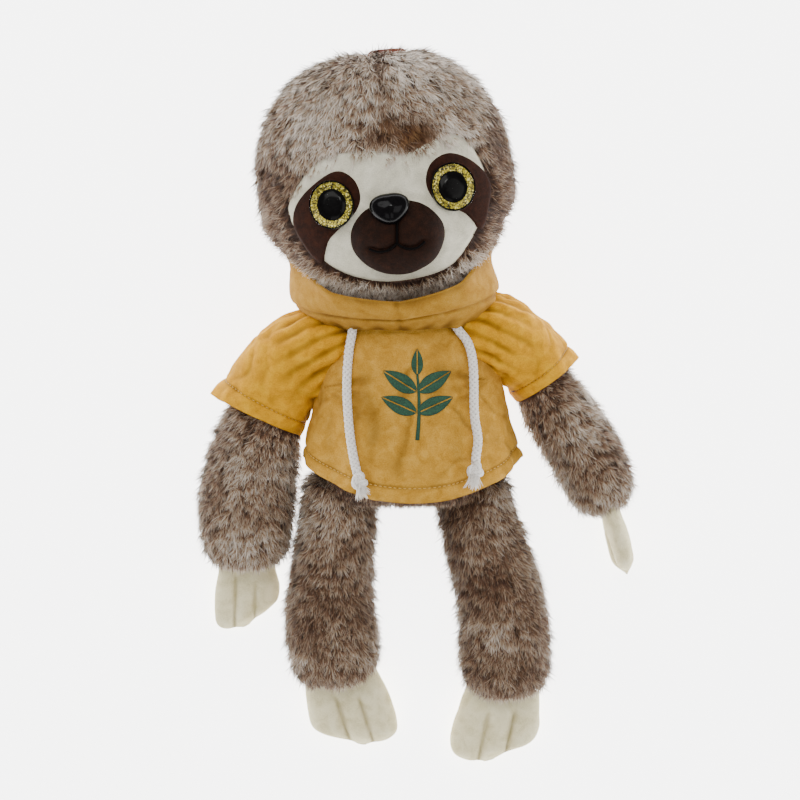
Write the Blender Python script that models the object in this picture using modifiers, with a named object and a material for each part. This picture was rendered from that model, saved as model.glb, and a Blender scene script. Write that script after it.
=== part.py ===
# A plush sloth in a short-sleeved hooded top, lying on its back.
# Metres. +Z points out of the face, +Y to the crown, +X to the toy's own left.
# The origin is on the floor, under the middle of the back.

import math

import bmesh
import bpy
from mathutils import Matrix, Vector

# Clearances and cloth
GAP = 0.0004
PANEL_GAP = 0.00035
PANEL_DRAW_IN = 0.00056
FILLING_EASE = 0.0008
CLOTH_EASE = 0.0009
SKIN_THICKNESS = 0.0042
CLOTH_THICKNESS = 0.0019
CUT_OVERRUN = 0.03
FLOOR_CUTTER_HALF_WIDTH = 0.7
WELD_DISTANCE = 0.0000001
SHARP_FROM_DEG = 40

# Smoothness of the soft forms
RING_SIDES = 8
INNER_SIDES = 6
HEAD_SIDES = 12
HEAD_INNER_SIDES = 7
FORM_LEVELS = 1
SLEEVE_SIDES = 9
TOP_SIDES = 26
BALL_SEGMENTS = 16
BALL_RINGS = 10
SMALL_SEGMENTS = 12
SMALL_RINGS = 6
WASHER_SEGMENTS = 12
STEM_SEGMENTS = 8
OUTLINE_RESOLUTION = 3
LEAF_RESOLUTION = 2
TUBE_RESOLUTION = 2
THREAD_RESOLUTION = 1
CURVE_STEPS = 12

# Torso, a pear with a broad seat
TORSO_TOP_Y = 0.0605
TORSO_SEAT_Y = -0.0525
TORSO_HALF_WIDTH = 0.0485
TORSO_HALF_DEPTH = 0.0365
TORSO_MID_Z = 0.0400
TORSO_LENGTH_SHARES = (0.0, 0.10, 0.30, 0.55, 0.80, 1.0)
TORSO_WIDTH_SHARES = (0.74, 0.96, 1.0, 0.90, 0.80, 0.58)
TORSO_DEPTH_SHARES = (0.52, 0.88, 1.0, 0.95, 0.82, 0.62)

# Neck
NECK_X = -0.003
NECK_Y = 0.0650
NECK_Z = 0.0460
NECK_RADIUS = 0.0190

# Head, tilted on the neck
HEAD_HALF_WIDTH = 0.0695
HEAD_HALF_HEIGHT = 0.0690
HEAD_HALF_DEPTH = 0.0580
HEAD_ROLL_DEG = 8.0
HEAD_YAW_DEG = 0.0
HEAD_X = -0.0109
HEAD_CHIN_Y = 0.0630
HEAD_Y = HEAD_CHIN_Y + HEAD_HALF_HEIGHT
HEAD_Z = 0.0563
HEAD_LEVEL_SHARES = (-1.0, -0.88, -0.52, 0.0, 0.50, 0.88, 1.0)
HEAD_WIDTH_SHARES = (0.36, 0.70, 0.97, 1.03, 0.97, 0.66, 0.34)
HEAD_DEPTH_SHARES = (0.36, 0.70, 0.95, 1.00, 0.93, 0.68, 0.36)

# Face panel and eye patches, as points about the head's middle
FACE_OUTLINE = (
    (-0.0576, -0.0140), (-0.0440, 0.0060), (-0.0293, 0.0129), (-0.0091, 0.0125),
    (0.0130, 0.0080), (0.0288, 0.0137), (0.0430, 0.0160), (0.0540, 0.0030),
    (0.0560, -0.0150), (0.0466, -0.0385), (0.0300, -0.0570), (0.0038, -0.0620),
    (-0.0200, -0.0580), (-0.0406, -0.0446),
)
PATCH_THICKNESS = 0.0011
PATCH_OUTLINE_RIGHT = (
    (-0.0269, 0.0029), (-0.0165, -0.0020), (-0.0136, -0.0132), (-0.0193, -0.0225),
    (-0.0335, -0.0327), (-0.0400, -0.0440), (-0.0478, -0.0340), (-0.0523, -0.0190),
    (-0.0455, -0.0070),
)
PATCH_OUTLINE_LEFT = (
    (0.0345, 0.0046), (0.0235, -0.0003), (0.0196, -0.0115), (0.0250, -0.0226),
    (0.0380, -0.0284), (0.0470, -0.0375), (0.0530, -0.0250), (0.0550, -0.0120),
    (0.0470, -0.0008),
)

# Eyes: a black cup on a stem, a glitter ring in it, a clear dome over it
EYE_RADIUS = 0.0118
EYE_HEIGHT_SHARE = 1.08
EYE_CUP_THICKNESS = 0.0020
EYE_RING_THICKNESS = 0.0006
PUPIL_RADIUS = 0.0076
EYE_DOME_HEIGHT = 0.0042
EYE_PLACES = {"left": (0.0336, -0.0145), "right": (-0.0294, -0.0151)}
EYE_STEM_RADIUS = 0.0022
EYE_STEM_LENGTH = 0.0165
EYE_SEAT_LIFT = 0.0012
EYE_FORWARD_SHARE = 1.2
WASHER_RADIUS = 0.0080
WASHER_THICKNESS = 0.0018

# Muzzle, nose and mouth
MUZZLE_X = 0.0018
MUZZLE_Y = -0.0345
MUZZLE_HALF_WIDTH = 0.0250
MUZZLE_HALF_HEIGHT = 0.0212
MUZZLE_HALF_DEPTH = 0.0150
MUZZLE_SETBACK = 0.0105
MUZZLE_MID_Z = HEAD_HALF_DEPTH - MUZZLE_SETBACK
MUZZLE_TILT_DEG = -8.0
MUZZLE_SKIN = 0.0016
NOSE_X = -0.0002
NOSE_Y = -0.0215
NOSE_HALF_WIDTH = 0.0100
NOSE_HALF_HEIGHT = 0.0080
NOSE_HALF_DEPTH = 0.0070
NOSE_AHEAD = 0.0140
NOSE_MID_Z = MUZZLE_MID_Z + NOSE_AHEAD
NOSE_STEM_RADIUS = 0.0024
NOSE_STEM_LENGTH = 0.0260
MOUTH_THREAD_RADIUS = 0.0006
MOUTH_STEP = 0.0024
MOUTH_SMILE_SHARES = (
    (-0.58, -0.40), (-0.40, -0.47), (-0.22, -0.45), (-0.08, -0.36), (0.0, -0.28),
    (0.08, -0.34), (0.24, -0.40), (0.42, -0.37), (0.58, -0.22),
)
MOUTH_GROOVE_SHARES = ((0.0, -0.20), (0.0, -0.04), (0.0, 0.12), (0.0, 0.24))

# Ribbon tab across the crown
TAB_LENGTH = 0.0210
TAB_WIDTH = 0.0110
TAB_THICKNESS = 0.0017
TAB_X = 0.0107

# Arms: (x, y, z, half width, half depth) from the shoulder to the wrist
SHOULDER_RADIUS = 0.0140
ARM_PLACES = {
    "right": (
        (-0.0430, 0.0450, 0.0430, 0.0120, 0.0120),
        (-0.0620, 0.0250, 0.0360, 0.0180, 0.0180),
        (-0.0820, -0.0060, 0.0260, 0.0225, 0.0220),
        (-0.0895, -0.0400, 0.0215, 0.0262, 0.0235),
        (-0.0895, -0.0670, 0.0195, 0.0245, 0.0210),
        (-0.0890, -0.0820, 0.0165, 0.0185, 0.0160),
    ),
    "left": (
        (0.0430, 0.0500, 0.0430, 0.0120, 0.0120),
        (0.0620, 0.0350, 0.0370, 0.0155, 0.0180),
        (0.0835, 0.0090, 0.0260, 0.0172, 0.0225),
        (0.0990, -0.0140, 0.0225, 0.0190, 0.0240),
        (0.1090, -0.0340, 0.0210, 0.0185, 0.0225),
        (0.1150, -0.0500, 0.0205, 0.0145, 0.0175),
    ),
}

# Legs, the same way; each folds on a roll at the front of the hip seam
HIP_RADIUS = 0.0080
HIP_HALF_LENGTH = 0.0165
HIP_PLACES = {"right": (-0.0365, -0.0545, 0.0470), "left": (0.0385, -0.0545, 0.0470)}
LEG_PLACES = {
    "right": (
        (-0.0360, -0.0440, 0.0310, 0.0190, 0.0200),
        (-0.0385, -0.0650, 0.0275, 0.0205, 0.0205),
        (-0.0420, -0.0900, 0.0235, 0.0215, 0.0215),
        (-0.0425, -0.1120, 0.0215, 0.0242, 0.0232),
        (-0.0395, -0.1330, 0.0205, 0.0242, 0.0222),
        (-0.0375, -0.1470, 0.0165, 0.0200, 0.0170),
    ),
    "left": (
        (0.0380, -0.0440, 0.0310, 0.0190, 0.0200),
        (0.0430, -0.0650, 0.0275, 0.0210, 0.0205),
        (0.0520, -0.0900, 0.0235, 0.0220, 0.0215),
        (0.0560, -0.1130, 0.0215, 0.0240, 0.0232),
        (0.0565, -0.1380, 0.0205, 0.0245, 0.0222),
        (0.0570, -0.1540, 0.0165, 0.0200, 0.0170),
    ),
}

# Hands and feet: a roll on the hinge, then a flat mitt
HAND_ROLL_RADIUS = 0.0062
HAND_ROLL_HALF_LENGTH = 0.0125
HAND_HALF_WIDTH = 0.0182
HAND_HALF_THICKNESS = 0.0066
HAND_LENGTH = 0.0395
HAND_HINGE_PLACES = {"right": (-0.0890, -0.0790, 0.0105), "left": (0.1155, -0.0490, 0.0175)}
HAND_WAY_SHARES = {"right": (-0.04, -1.0, -0.17), "left": (0.26, -1.0, 0.0)}
HAND_AXIS_SHARES = {"right": (1.0, 0.0, 0.0), "left": (0.0, 0.0, 1.0)}
FOOT_ROLL_RADIUS = 0.0080
FOOT_ROLL_HALF_LENGTH = 0.0140
FOOT_HALF_WIDTH = 0.0240
FOOT_HALF_THICKNESS = 0.0090
FOOT_LENGTH = 0.0450
FOOT_HINGE_PLACES = {"right": (-0.0375, -0.1430, 0.0136), "left": (0.0565, -0.1510, 0.0136)}
FOOT_WAY_SHARES = {"right": (0.30, -1.0, -0.20), "left": (-0.20, -1.0, -0.20)}
FOOT_AXIS_SHARES = {"right": (1.0, 0.0, 0.0), "left": (1.0, 0.0, 0.0)}
MITT_LENGTH_SHARES = (0.0, 0.22, 0.45, 0.72, 0.92, 1.0)
MITT_WIDTH_SHARES = (0.74, 0.84, 0.98, 1.0, 0.74, 0.40)
MITT_THICKNESS_SHARES = (0.52, 0.62, 0.92, 1.0, 0.74, 0.40)

# Hooded top: the body tube, its hem dipping at the front
TOP_NECK_Y = 0.0520
TOP_HEM_FRONT_Y = -0.0445
TOP_HEM_SIDE_Y = -0.0200
TOP_HEM_BACK_Y = -0.0360
TOP_HEM_X = 0.0040
TOP_NECK_HALF_WIDTH = 0.0370
TOP_CHEST_HALF_WIDTH = 0.0500
TOP_HEM_HALF_WIDTH = 0.0575
TOP_NECK_HALF_DEPTH = 0.0300
TOP_CHEST_HALF_DEPTH = 0.0385
TOP_HEM_HALF_DEPTH = 0.0405
TOP_MID_Z = 0.0400
TOP_BACK_HALF_DEPTH = 0.0386
TOP_DIP_POWER = 1.5
TOP_CHEST_SHARE = 0.45
TOP_ROWS = 6
TOP_FOLDS = 9
TOP_FOLD_DEPTH = 0.0022
TOP_FOLD_TURN = 0.8
TOP_FLAT_BACK_SHARE = -0.6

# Sleeves: (x, y, z, half width, half depth) from the shoulder to the hem
SLEEVE_PLACES = {
    "right": (
        (-0.0300, 0.0460, 0.0440, 0.0175, 0.0205),
        (-0.0470, 0.0395, 0.0430, 0.0232, 0.0248),
        (-0.0630, 0.0300, 0.0370, 0.0258, 0.0262),
        (-0.0745, 0.0165, 0.0310, 0.0262, 0.0270),
        (-0.0835, 0.0030, 0.0270, 0.0268, 0.0285),
    ),
    "left": (
        (0.0310, 0.0520, 0.0440, 0.0190, 0.0210),
        (0.0465, 0.0480, 0.0430, 0.0225, 0.0250),
        (0.0600, 0.0415, 0.0370, 0.0225, 0.0262),
        (0.0710, 0.0330, 0.0310, 0.0212, 0.0270),
        (0.0800, 0.0230, 0.0270, 0.0208, 0.0285),
    ),
}

# Collar: two rims, each as (x, y, z) at the left, front, right and back
COLLAR_THICKNESS = 0.0030
COLLAR_SIDES = 22
COLLAR_ROW_SHARES = (0.0, 0.30, 0.65, 1.0)
COLLAR_TOP = (
    (0.0480, 0.0950, 0.0560), (-0.0030, 0.0625, 0.0960),
    (-0.0660, 0.0870, 0.0560), (-0.0080, 0.0980, 0.0060),
)
COLLAR_LOW = (
    (0.0405, 0.0570, 0.0420), (-0.0010, 0.0500, 0.0770),
    (-0.0460, 0.0550, 0.0420), (-0.0020, 0.0530, 0.0060),
)
COLLAR_BELLY_SHARE = 0.10
COLLAR_LEAN_SHARE = -0.4

# Print on the chest, a sprig of leaves
PRINT_X = 0.0065
PRINT_Y = 0.0140
PRINT_THICKNESS = 0.0005
PRINT_HALF_WIDTH = 0.0215
PRINT_HALF_HEIGHT = 0.0245
PRINT_STALK_WIDTH_SHARE = 0.10
LEAF_PLACES_SHARES = (
    (0.0, 0.42, 90, 0.58), (0.02, 0.06, 32, 0.86), (-0.02, 0.06, 148, 0.86),
    (0.02, -0.40, 24, 0.84), (-0.02, -0.40, 156, 0.84),
)
LEAF_FAT_SHARE = 0.36
LEAF_OUTLINE_SHARES = (
    (0.0, 0.0), (0.30, -0.62), (0.66, -0.52), (1.0, 0.0), (0.66, 0.52), (0.30, 0.62),
)
STALK_TOP_SHARE = 0.6

# Drawstrings: chosen points, top to knot
CORD_RADIUS = 0.0027
CORD_ROUTES = {
    "right": (
        (-0.0282, 0.0508, 0.0688), (-0.0290, 0.0450, 0.0696), (-0.0303, 0.0375, 0.0712),
        (-0.0314, 0.0216, 0.0743), (-0.0309, 0.0057, 0.0757), (-0.0293, -0.0102, 0.0776),
        (-0.0272, -0.0219, 0.0800), (-0.0256, -0.0283, 0.0828),
    ),
    "left": (
        (0.0248, 0.0551, 0.0676), (0.0291, 0.0487, 0.0676), (0.0339, 0.0423, 0.0680),
        (0.0365, 0.0328, 0.0694), (0.0371, 0.0206, 0.0725), (0.0371, 0.0099, 0.0738),
        (0.0376, 0.0004, 0.0748), (0.0392, -0.0102, 0.0754), (0.0381, -0.0193, 0.0778),
        (0.0379, -0.0225, 0.0790),
    ),
}
CORD_STEP = 0.0065
KNOT_RADIUS = 0.0044
KNOT_LENGTH = 0.0090

COLOURS = {
    "fur": ("8d7c6d", 0.95),
    "filling": ("f1efe8", 0.95),
    "face_velour": ("d9d6c8", 0.9),
    "dark_velour": ("3a221a", 0.9),
    "claw_velour": ("e6dfc0", 0.9),
    "top_velour": ("dfb458", 0.85),
    "black_plastic": ("101010", 0.15),
    "clear_plastic": ("dfe6e8", 0.05),
    "glitter": ("b5a93c", 0.3),
    "nylon": ("e9e7df", 0.4),
    "ribbon": ("5a2a1c", 0.6),
    "cotton_cord": ("ece9e4", 0.8),
    "print_ink": ("1f4a34", 0.6),
    "thread": ("0d0907", 0.7),
}


def clear_scene():
    for old in list(bpy.data.objects):
        bpy.data.objects.remove(old)


def collection(name):
    made = bpy.data.collections.new(name)
    bpy.context.scene.collection.children.link(made)
    return made


def linear(channel):
    return channel / 12.92 if channel <= 0.04045 else ((channel + 0.055) / 1.055) ** 2.4


def material(name):
    if name in bpy.data.materials:
        return bpy.data.materials[name]
    code, roughness = COLOURS[name]
    made = bpy.data.materials.new(name)
    made.use_nodes = True
    shader = made.node_tree.nodes["Principled BSDF"]
    rgb = [linear(int(code[i : i + 2], 16) / 255) for i in (0, 2, 4)]
    shader.inputs["Base Color"].default_value = (*rgb, 1.0)
    shader.inputs["Roughness"].default_value = roughness
    shader.inputs["Metallic"].default_value = 0.0
    return made


clear_scene()
PARTS = collection("plush_sloth")
CUTTERS = collection("cutters")


def add_part(name, mesh, finish):
    """A sub-part: an object in the part's collection, shaded smooth."""
    mesh.materials.clear()
    mesh.materials.append(material(finish))
    mesh.shade_smooth()
    mesh.set_sharp_from_angle(angle=math.radians(SHARP_FROM_DEG))
    part = bpy.data.objects.new(name, mesh)
    PARTS.objects.link(part)
    return part


def add_cutter(name, mesh):
    cutter = bpy.data.objects.new(name, mesh)
    cutter.hide_render = True
    cutter.display_type = "WIRE"
    CUTTERS.objects.link(cutter)
    return cutter


def boolean(part, other, operation="DIFFERENCE", solver="EXACT"):
    step = part.modifiers.new(operation.lower() + "_" + other.name, "BOOLEAN")
    step.operation = operation
    step.object = other
    step.solver = solver


def smooth(part, levels):
    step = part.modifiers.new("smooth", "SUBSURF")
    step.levels = levels
    step.render_levels = levels


def empty(name, place, turn=None):
    made = bpy.data.objects.new(name, None)
    made.location = place
    if turn is not None:
        made.rotation_euler = turn
    PARTS.objects.link(made)
    bpy.context.view_layer.update()
    return made


def hang_on(parts, joint):
    """Parents parts, built in world places, to a joint's empty."""
    for part in parts:
        part.parent = joint
        part.matrix_parent_inverse = joint.matrix_world.inverted()


def cage_mesh(name, rings, capped=True, crisp_ends=False):
    """A mesh from rings of points; crisp ends aren't drawn in by smoothing."""
    made = bmesh.new()
    rows = [[made.verts.new(point) for point in ring] for ring in rings]
    count = len(rows[0])
    for low, high in zip(rows, rows[1:]):
        for i in range(count):
            j = (i + 1) % count
            made.faces.new((low[i], low[j], high[j], high[i]))
    if capped:
        caps = [made.faces.new(rows[0]), made.faces.new(rows[-1])]
        if crisp_ends:
            crease = made.edges.layers.float.new("crease_edge")
            for edge in caps[0].edges[:] + caps[1].edges[:]:
                edge[crease] = 1.0
    bmesh.ops.recalc_face_normals(made, faces=made.faces)
    mesh = bpy.data.meshes.new(name)
    made.to_mesh(mesh)
    made.free()
    return mesh


def ring(centre, side, front, sides):
    """A cage ring that subdivision draws in to the half sizes side and front."""
    swell = 1 / (2 / 3 + math.cos(2 * math.pi / sides) / 3)
    return [
        centre
        + side * (swell * math.cos(2 * math.pi * i / sides))
        + front * (swell * math.sin(2 * math.pi * i / sides))
        for i in range(sides)
    ]


def path_rings(places, grow, sides, stretch_ends=True):
    """Rings along a path of (x, y, z, half width, half depth), grown by a distance."""
    centres = [Vector(p[:3]) for p in places]
    rings = []
    for i, place in enumerate(places):
        before, after = centres[max(i - 1, 0)], centres[min(i + 1, len(places) - 1)]
        along = (after - before).normalized()
        side = along.cross(Vector((0, 0, 1))).normalized()
        front = side.cross(along).normalized()
        centre = centres[i].copy()
        if stretch_ends and i == 0:
            centre -= along * grow
        if stretch_ends and i == len(places) - 1:
            centre += along * grow
        rings.append(ring(centre, side * (place[3] + grow), front * (place[4] + grow), sides))
    return rings


def ellipsoid(name, centre, halves, tilt_deg=0.0, small=False):
    made = bmesh.new()
    place = Matrix.Translation(centre) @ Matrix.Rotation(math.radians(tilt_deg), 4, "Z")
    bmesh.ops.create_uvsphere(
        made, u_segments=SMALL_SEGMENTS if small else BALL_SEGMENTS,
        v_segments=SMALL_RINGS if small else BALL_RINGS, radius=1.0,
        matrix=place @ Matrix.Diagonal((*halves, 1.0)),
    )
    mesh = bpy.data.meshes.new(name)
    made.to_mesh(mesh)
    made.free()
    return mesh


def ball(name, centre, radius, small=False):
    return ellipsoid(name, centre, (radius, radius, radius), small=small)


def roll_mesh(name, place, axis, radius, half_length):
    """A stuffed roll, round its axis."""
    mesh = ellipsoid(name, (0, 0, 0), (radius, radius, half_length), small=True)
    mesh.transform(Matrix.Translation(place) @ along_z(axis))
    return mesh


def along_z(direction):
    """The rotation that turns +Z to a direction."""
    return Vector((0, 0, 1)).rotation_difference(Vector(direction)).to_matrix().to_4x4()


def cylinder(name, centre, direction, radius, length, segments=BALL_SEGMENTS):
    made = bmesh.new()
    bmesh.ops.create_cone(
        made, cap_ends=True, segments=segments, radius1=radius, radius2=radius,
        depth=length, matrix=Matrix.Translation(centre) @ along_z(direction),
    )
    mesh = bpy.data.meshes.new(name)
    made.to_mesh(mesh)
    made.free()
    return mesh


def box(name, low, high):
    low, high = Vector(low), Vector(high)
    made = bmesh.new()
    place = Matrix.Translation((low + high) / 2) @ Matrix.Diagonal((*(high - low), 1.0))
    bmesh.ops.create_cube(made, size=1.0, matrix=place)
    mesh = bpy.data.meshes.new(name)
    made.to_mesh(mesh)
    made.free()
    return mesh


def mesh_of(curve_object, name):
    """The curve's evaluated mesh, welded, with its place applied; the curve is removed."""
    graph = bpy.context.evaluated_depsgraph_get()
    mesh = bpy.data.meshes.new_from_object(curve_object.evaluated_get(graph))
    mesh.name = name
    mesh.transform(curve_object.matrix_world)
    made = bmesh.new()
    made.from_mesh(mesh)
    bmesh.ops.remove_doubles(made, verts=made.verts, dist=WELD_DISTANCE)
    bmesh.ops.recalc_face_normals(made, faces=made.faces)
    made.to_mesh(mesh)
    made.free()
    bpy.data.objects.remove(curve_object)
    return mesh


def outline_mesh(name, points, low_z, high_z, resolution=OUTLINE_RESOLUTION):
    """A smooth closed outline extruded from one height to another."""
    curve = bpy.data.curves.new(name, "CURVE")
    curve.dimensions = "2D"
    curve.fill_mode = "BOTH"
    curve.resolution_u = resolution
    curve.extrude = (high_z - low_z) / 2
    spline = curve.splines.new("BEZIER")
    spline.bezier_points.add(len(points) - 1)
    spline.use_cyclic_u = True
    for knot, point in zip(spline.bezier_points, points):
        knot.co = (point[0], point[1], 0)
        knot.handle_left_type = knot.handle_right_type = "AUTO"
    made = bpy.data.objects.new(name, curve)
    made.location = (0, 0, (low_z + high_z) / 2)
    bpy.context.scene.collection.objects.link(made)
    bpy.context.view_layer.update()
    return mesh_of(made, name)


def smooth_points(points, step):
    """Points a step apart on a smooth curve through the given ones."""
    curve = [Vector(p) for p in points]
    fine = []
    for i in range(len(curve) - 1):
        a = curve[max(i - 1, 0)]
        b, c = curve[i], curve[i + 1]
        d = curve[min(i + 2, len(curve) - 1)]
        bend_out, bend_in = (c - a) / 2, (d - b) / 2
        for k in range(CURVE_STEPS):
            share = k / CURVE_STEPS
            eased = share * share * (3 - 2 * share)
            fine.append(
                b.lerp(c, eased)
                + bend_out * (share * (1 - share) ** 2) - bend_in * (share**2 * (1 - share))
            )
    fine.append(curve[-1])
    lengths = [0.0]
    for a, b in zip(fine, fine[1:]):
        lengths.append(lengths[-1] + (b - a).length)
    count = max(2, round(lengths[-1] / step))
    found, k = [], 0
    for i in range(count + 1):
        wanted = lengths[-1] * i / count
        while k < len(fine) - 2 and lengths[k + 1] < wanted:
            k += 1
        share = (wanted - lengths[k]) / (lengths[k + 1] - lengths[k])
        found.append(fine[k].lerp(fine[k + 1], min(max(share, 0.0), 1.0)))
    return found


def tube_curve(name, points, radius, resolution=TUBE_RESOLUTION):
    curve = bpy.data.curves.new(name, "CURVE")
    curve.dimensions = "3D"
    curve.bevel_depth = radius
    curve.bevel_resolution = resolution
    curve.use_fill_caps = True
    spline = curve.splines.new("POLY")
    spline.points.add(len(points) - 1)
    for knot, point in zip(spline.points, points):
        knot.co = (*point, 1.0)
    made = bpy.data.objects.new(name, curve)
    bpy.context.scene.collection.objects.link(made)
    bpy.context.view_layer.update()
    return mesh_of(made, name)


# Torso
def torso_mesh(name, grow):
    sides = INNER_SIDES if grow < 0 else RING_SIDES
    rings = []
    last = len(TORSO_LENGTH_SHARES) - 1
    for i, share in enumerate(TORSO_LENGTH_SHARES):
        y = TORSO_SEAT_Y + share * (TORSO_TOP_Y - TORSO_SEAT_Y)
        y += grow * ((i == last) - (i == 0))
        side = Vector((TORSO_HALF_WIDTH * TORSO_WIDTH_SHARES[i] + grow, 0, 0))
        front = Vector((0, 0, TORSO_HALF_DEPTH * TORSO_DEPTH_SHARES[i] + grow))
        rings.append(ring(Vector((0, y, TORSO_MID_Z)), side, front, sides))
    return cage_mesh(name, rings)


def make_torso(neck_cutter, sockets):
    inner = add_cutter("torso_inner", torso_mesh("torso_inner", -SKIN_THICKNESS))
    smooth(inner, FORM_LEVELS)
    skin = add_part("torso_skin", torso_mesh("torso_skin", 0.0), "fur")
    smooth(skin, FORM_LEVELS)
    boolean(skin, inner)
    filling = add_part(
        "torso_filling", torso_mesh("torso_filling", -SKIN_THICKNESS - FILLING_EASE), "filling"
    )
    smooth(filling, FORM_LEVELS)
    for part in (skin, filling):
        boolean(part, neck_cutter)
        for socket in sockets:
            boolean(part, socket)
    return skin, filling


# Head
def head_mesh(name, grow):
    sides = HEAD_INNER_SIDES if grow < 0 else HEAD_SIDES
    rings = []
    last = len(HEAD_LEVEL_SHARES) - 1
    for i, level in enumerate(HEAD_LEVEL_SHARES):
        y = HEAD_HALF_HEIGHT * level + grow * ((i == last) - (i == 0))
        side = Vector((HEAD_HALF_WIDTH * HEAD_WIDTH_SHARES[i] + grow, 0, 0))
        front = Vector((0, 0, HEAD_HALF_DEPTH * HEAD_DEPTH_SHARES[i] + grow))
        rings.append(ring(Vector((0, y, 0)), side, front, sides))
    return cage_mesh(name, rings)


def head_form(name, grow, finish=None):
    mesh = head_mesh(name, grow)
    made = add_part(name, mesh, finish) if finish else add_cutter(name, mesh)
    smooth(made, FORM_LEVELS)
    return made


def head_surface(point, grow=0.0):
    """Where a line along the face's depth meets the smoothed head, and the way it faces."""
    probe = bpy.data.objects.new("probe", head_mesh("probe", grow))
    PARTS.objects.link(probe)
    smooth(probe, FORM_LEVELS)
    bpy.context.view_layer.update()
    seen = probe.evaluated_get(bpy.context.evaluated_depsgraph_get())
    top = HEAD_HALF_DEPTH + CUT_OVERRUN
    _, place, facing, _ = seen.ray_cast(Vector((*point, top)), Vector((0, 0, -1)))
    place, facing = place.copy(), facing.copy()
    bpy.data.objects.remove(probe)
    return place, facing


def make_eye(side):
    """Cup with pupil boss and stem, glitter ring, clear dome and the washer inside."""
    place, facing = head_surface(EYE_PLACES[side], PATCH_THICKNESS + 2 * GAP)
    facing = (facing + EYE_FORWARD_SHARE * Vector((0, 0, 1))).normalized()
    turn = along_z(facing) @ Matrix.Diagonal((1.0, EYE_HEIGHT_SHARE, 1.0, 1.0))
    seat = Matrix.Translation(place + facing * (GAP + EYE_SEAT_LIFT)) @ turn
    up = Vector((0, 0, 1))

    def at(mesh):
        mesh.transform(seat)
        return mesh

    cup = add_part(
        "eye_cup_" + side,
        at(cylinder("cup", up * (EYE_CUP_THICKNESS / 2), up, EYE_RADIUS, EYE_CUP_THICKNESS)),
        "black_plastic",
    )
    boss = add_cutter(
        "pupil_boss_" + side,
        at(cylinder("boss", up * EYE_CUP_THICKNESS, up, PUPIL_RADIUS, 2 * EYE_RING_THICKNESS)),
    )
    stem = add_cutter(
        "eye_stem_" + side,
        at(cylinder("stem", -up * (EYE_STEM_LENGTH / 2 - EYE_CUP_THICKNESS / 2), up,
                    EYE_STEM_RADIUS, EYE_STEM_LENGTH + EYE_CUP_THICKNESS, STEM_SEGMENTS)),
    )
    boolean(cup, boss, "UNION")
    boolean(cup, stem, "UNION")
    level = EYE_CUP_THICKNESS + GAP / 2
    glitter = add_part(
        "eye_glitter_" + side,
        at(cylinder("ring", up * (level + EYE_RING_THICKNESS / 2), up,
                    EYE_RADIUS - GAP, EYE_RING_THICKNESS)),
        "glitter",
    )
    hole = add_cutter(
        "glitter_hole_" + side,
        at(cylinder("hole", up * level, up, PUPIL_RADIUS + GAP, CUT_OVERRUN)),
    )
    boolean(glitter, hole)
    level += EYE_RING_THICKNESS + GAP
    dome = add_part(
        "eye_dome_" + side,
        at(ellipsoid("dome", up * level, (EYE_RADIUS, EYE_RADIUS, EYE_DOME_HEIGHT))),
        "clear_plastic",
    )
    under = add_cutter(
        "dome_under_" + side,
        at(box("under", (-CUT_OVERRUN, -CUT_OVERRUN, -CUT_OVERRUN),
               (CUT_OVERRUN, CUT_OVERRUN, level))),
    )
    boolean(dome, under)
    deep = -EYE_STEM_LENGTH + WASHER_THICKNESS
    washer = add_part(
        "eye_washer_" + side,
        at(cylinder("washer", up * deep, up, WASHER_RADIUS, WASHER_THICKNESS, WASHER_SEGMENTS)), "nylon"
    )
    bore = add_cutter(
        "washer_bore_" + side,
        at(cylinder("bore", up * deep, up, EYE_STEM_RADIUS + GAP, CUT_OVERRUN, STEM_SEGMENTS)),
    )
    boolean(washer, bore)
    room = [
        add_cutter(
            "eye_seat_" + side,
            at(cylinder("seat", up * (CUT_OVERRUN / 2 - GAP), up, EYE_RADIUS + GAP, CUT_OVERRUN)),
        ),
        add_cutter(
            "eye_stem_room_" + side,
            at(cylinder("stem_room", -up * (EYE_STEM_LENGTH / 2), up,
                        EYE_STEM_RADIUS + GAP, EYE_STEM_LENGTH + 3 * GAP, STEM_SEGMENTS)),
        ),
    ]
    washer_room = add_cutter(
        "eye_washer_room_" + side,
        at(cylinder("washer_room", up * deep, up, WASHER_RADIUS + GAP,
                    WASHER_THICKNESS + 2 * GAP, WASHER_SEGMENTS)),
    )
    return [cup, glitter, dome, washer], room, washer_room


def muzzle_height(x_share, y_share, lift):
    """The muzzle's surface over a place given in shares of its half sizes."""
    flat = max(1 - x_share**2 - y_share**2, 0.0)
    tilt = Matrix.Rotation(math.radians(MUZZLE_TILT_DEG), 3, "Z")
    across = tilt @ Vector((x_share * MUZZLE_HALF_WIDTH, y_share * MUZZLE_HALF_HEIGHT, 0))
    z = MUZZLE_MID_Z + MUZZLE_HALF_DEPTH * math.sqrt(flat) + lift
    return Vector((MUZZLE_X + across.x, MUZZLE_Y + across.y, z))


def make_muzzle(head_grown):
    centre = (MUZZLE_X, MUZZLE_Y, MUZZLE_MID_Z)
    halves = Vector((MUZZLE_HALF_WIDTH, MUZZLE_HALF_HEIGHT, MUZZLE_HALF_DEPTH))
    inside = halves - Vector((1, 1, 1)) * MUZZLE_SKIN
    kernel = inside - Vector((1, 1, 1)) * PANEL_GAP
    skin = add_part(
        "muzzle_skin", ellipsoid("muzzle_skin", centre, halves, MUZZLE_TILT_DEG), "dark_velour"
    )
    hollow = add_cutter(
        "muzzle_hollow", ellipsoid("muzzle_hollow", centre, inside, MUZZLE_TILT_DEG)
    )
    filling = add_part(
        "muzzle_filling", ellipsoid("muzzle_filling", centre, kernel, MUZZLE_TILT_DEG), "filling"
    )
    boolean(skin, hollow)
    for part in (skin, filling):
        boolean(part, head_grown)
    return skin, filling


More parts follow.
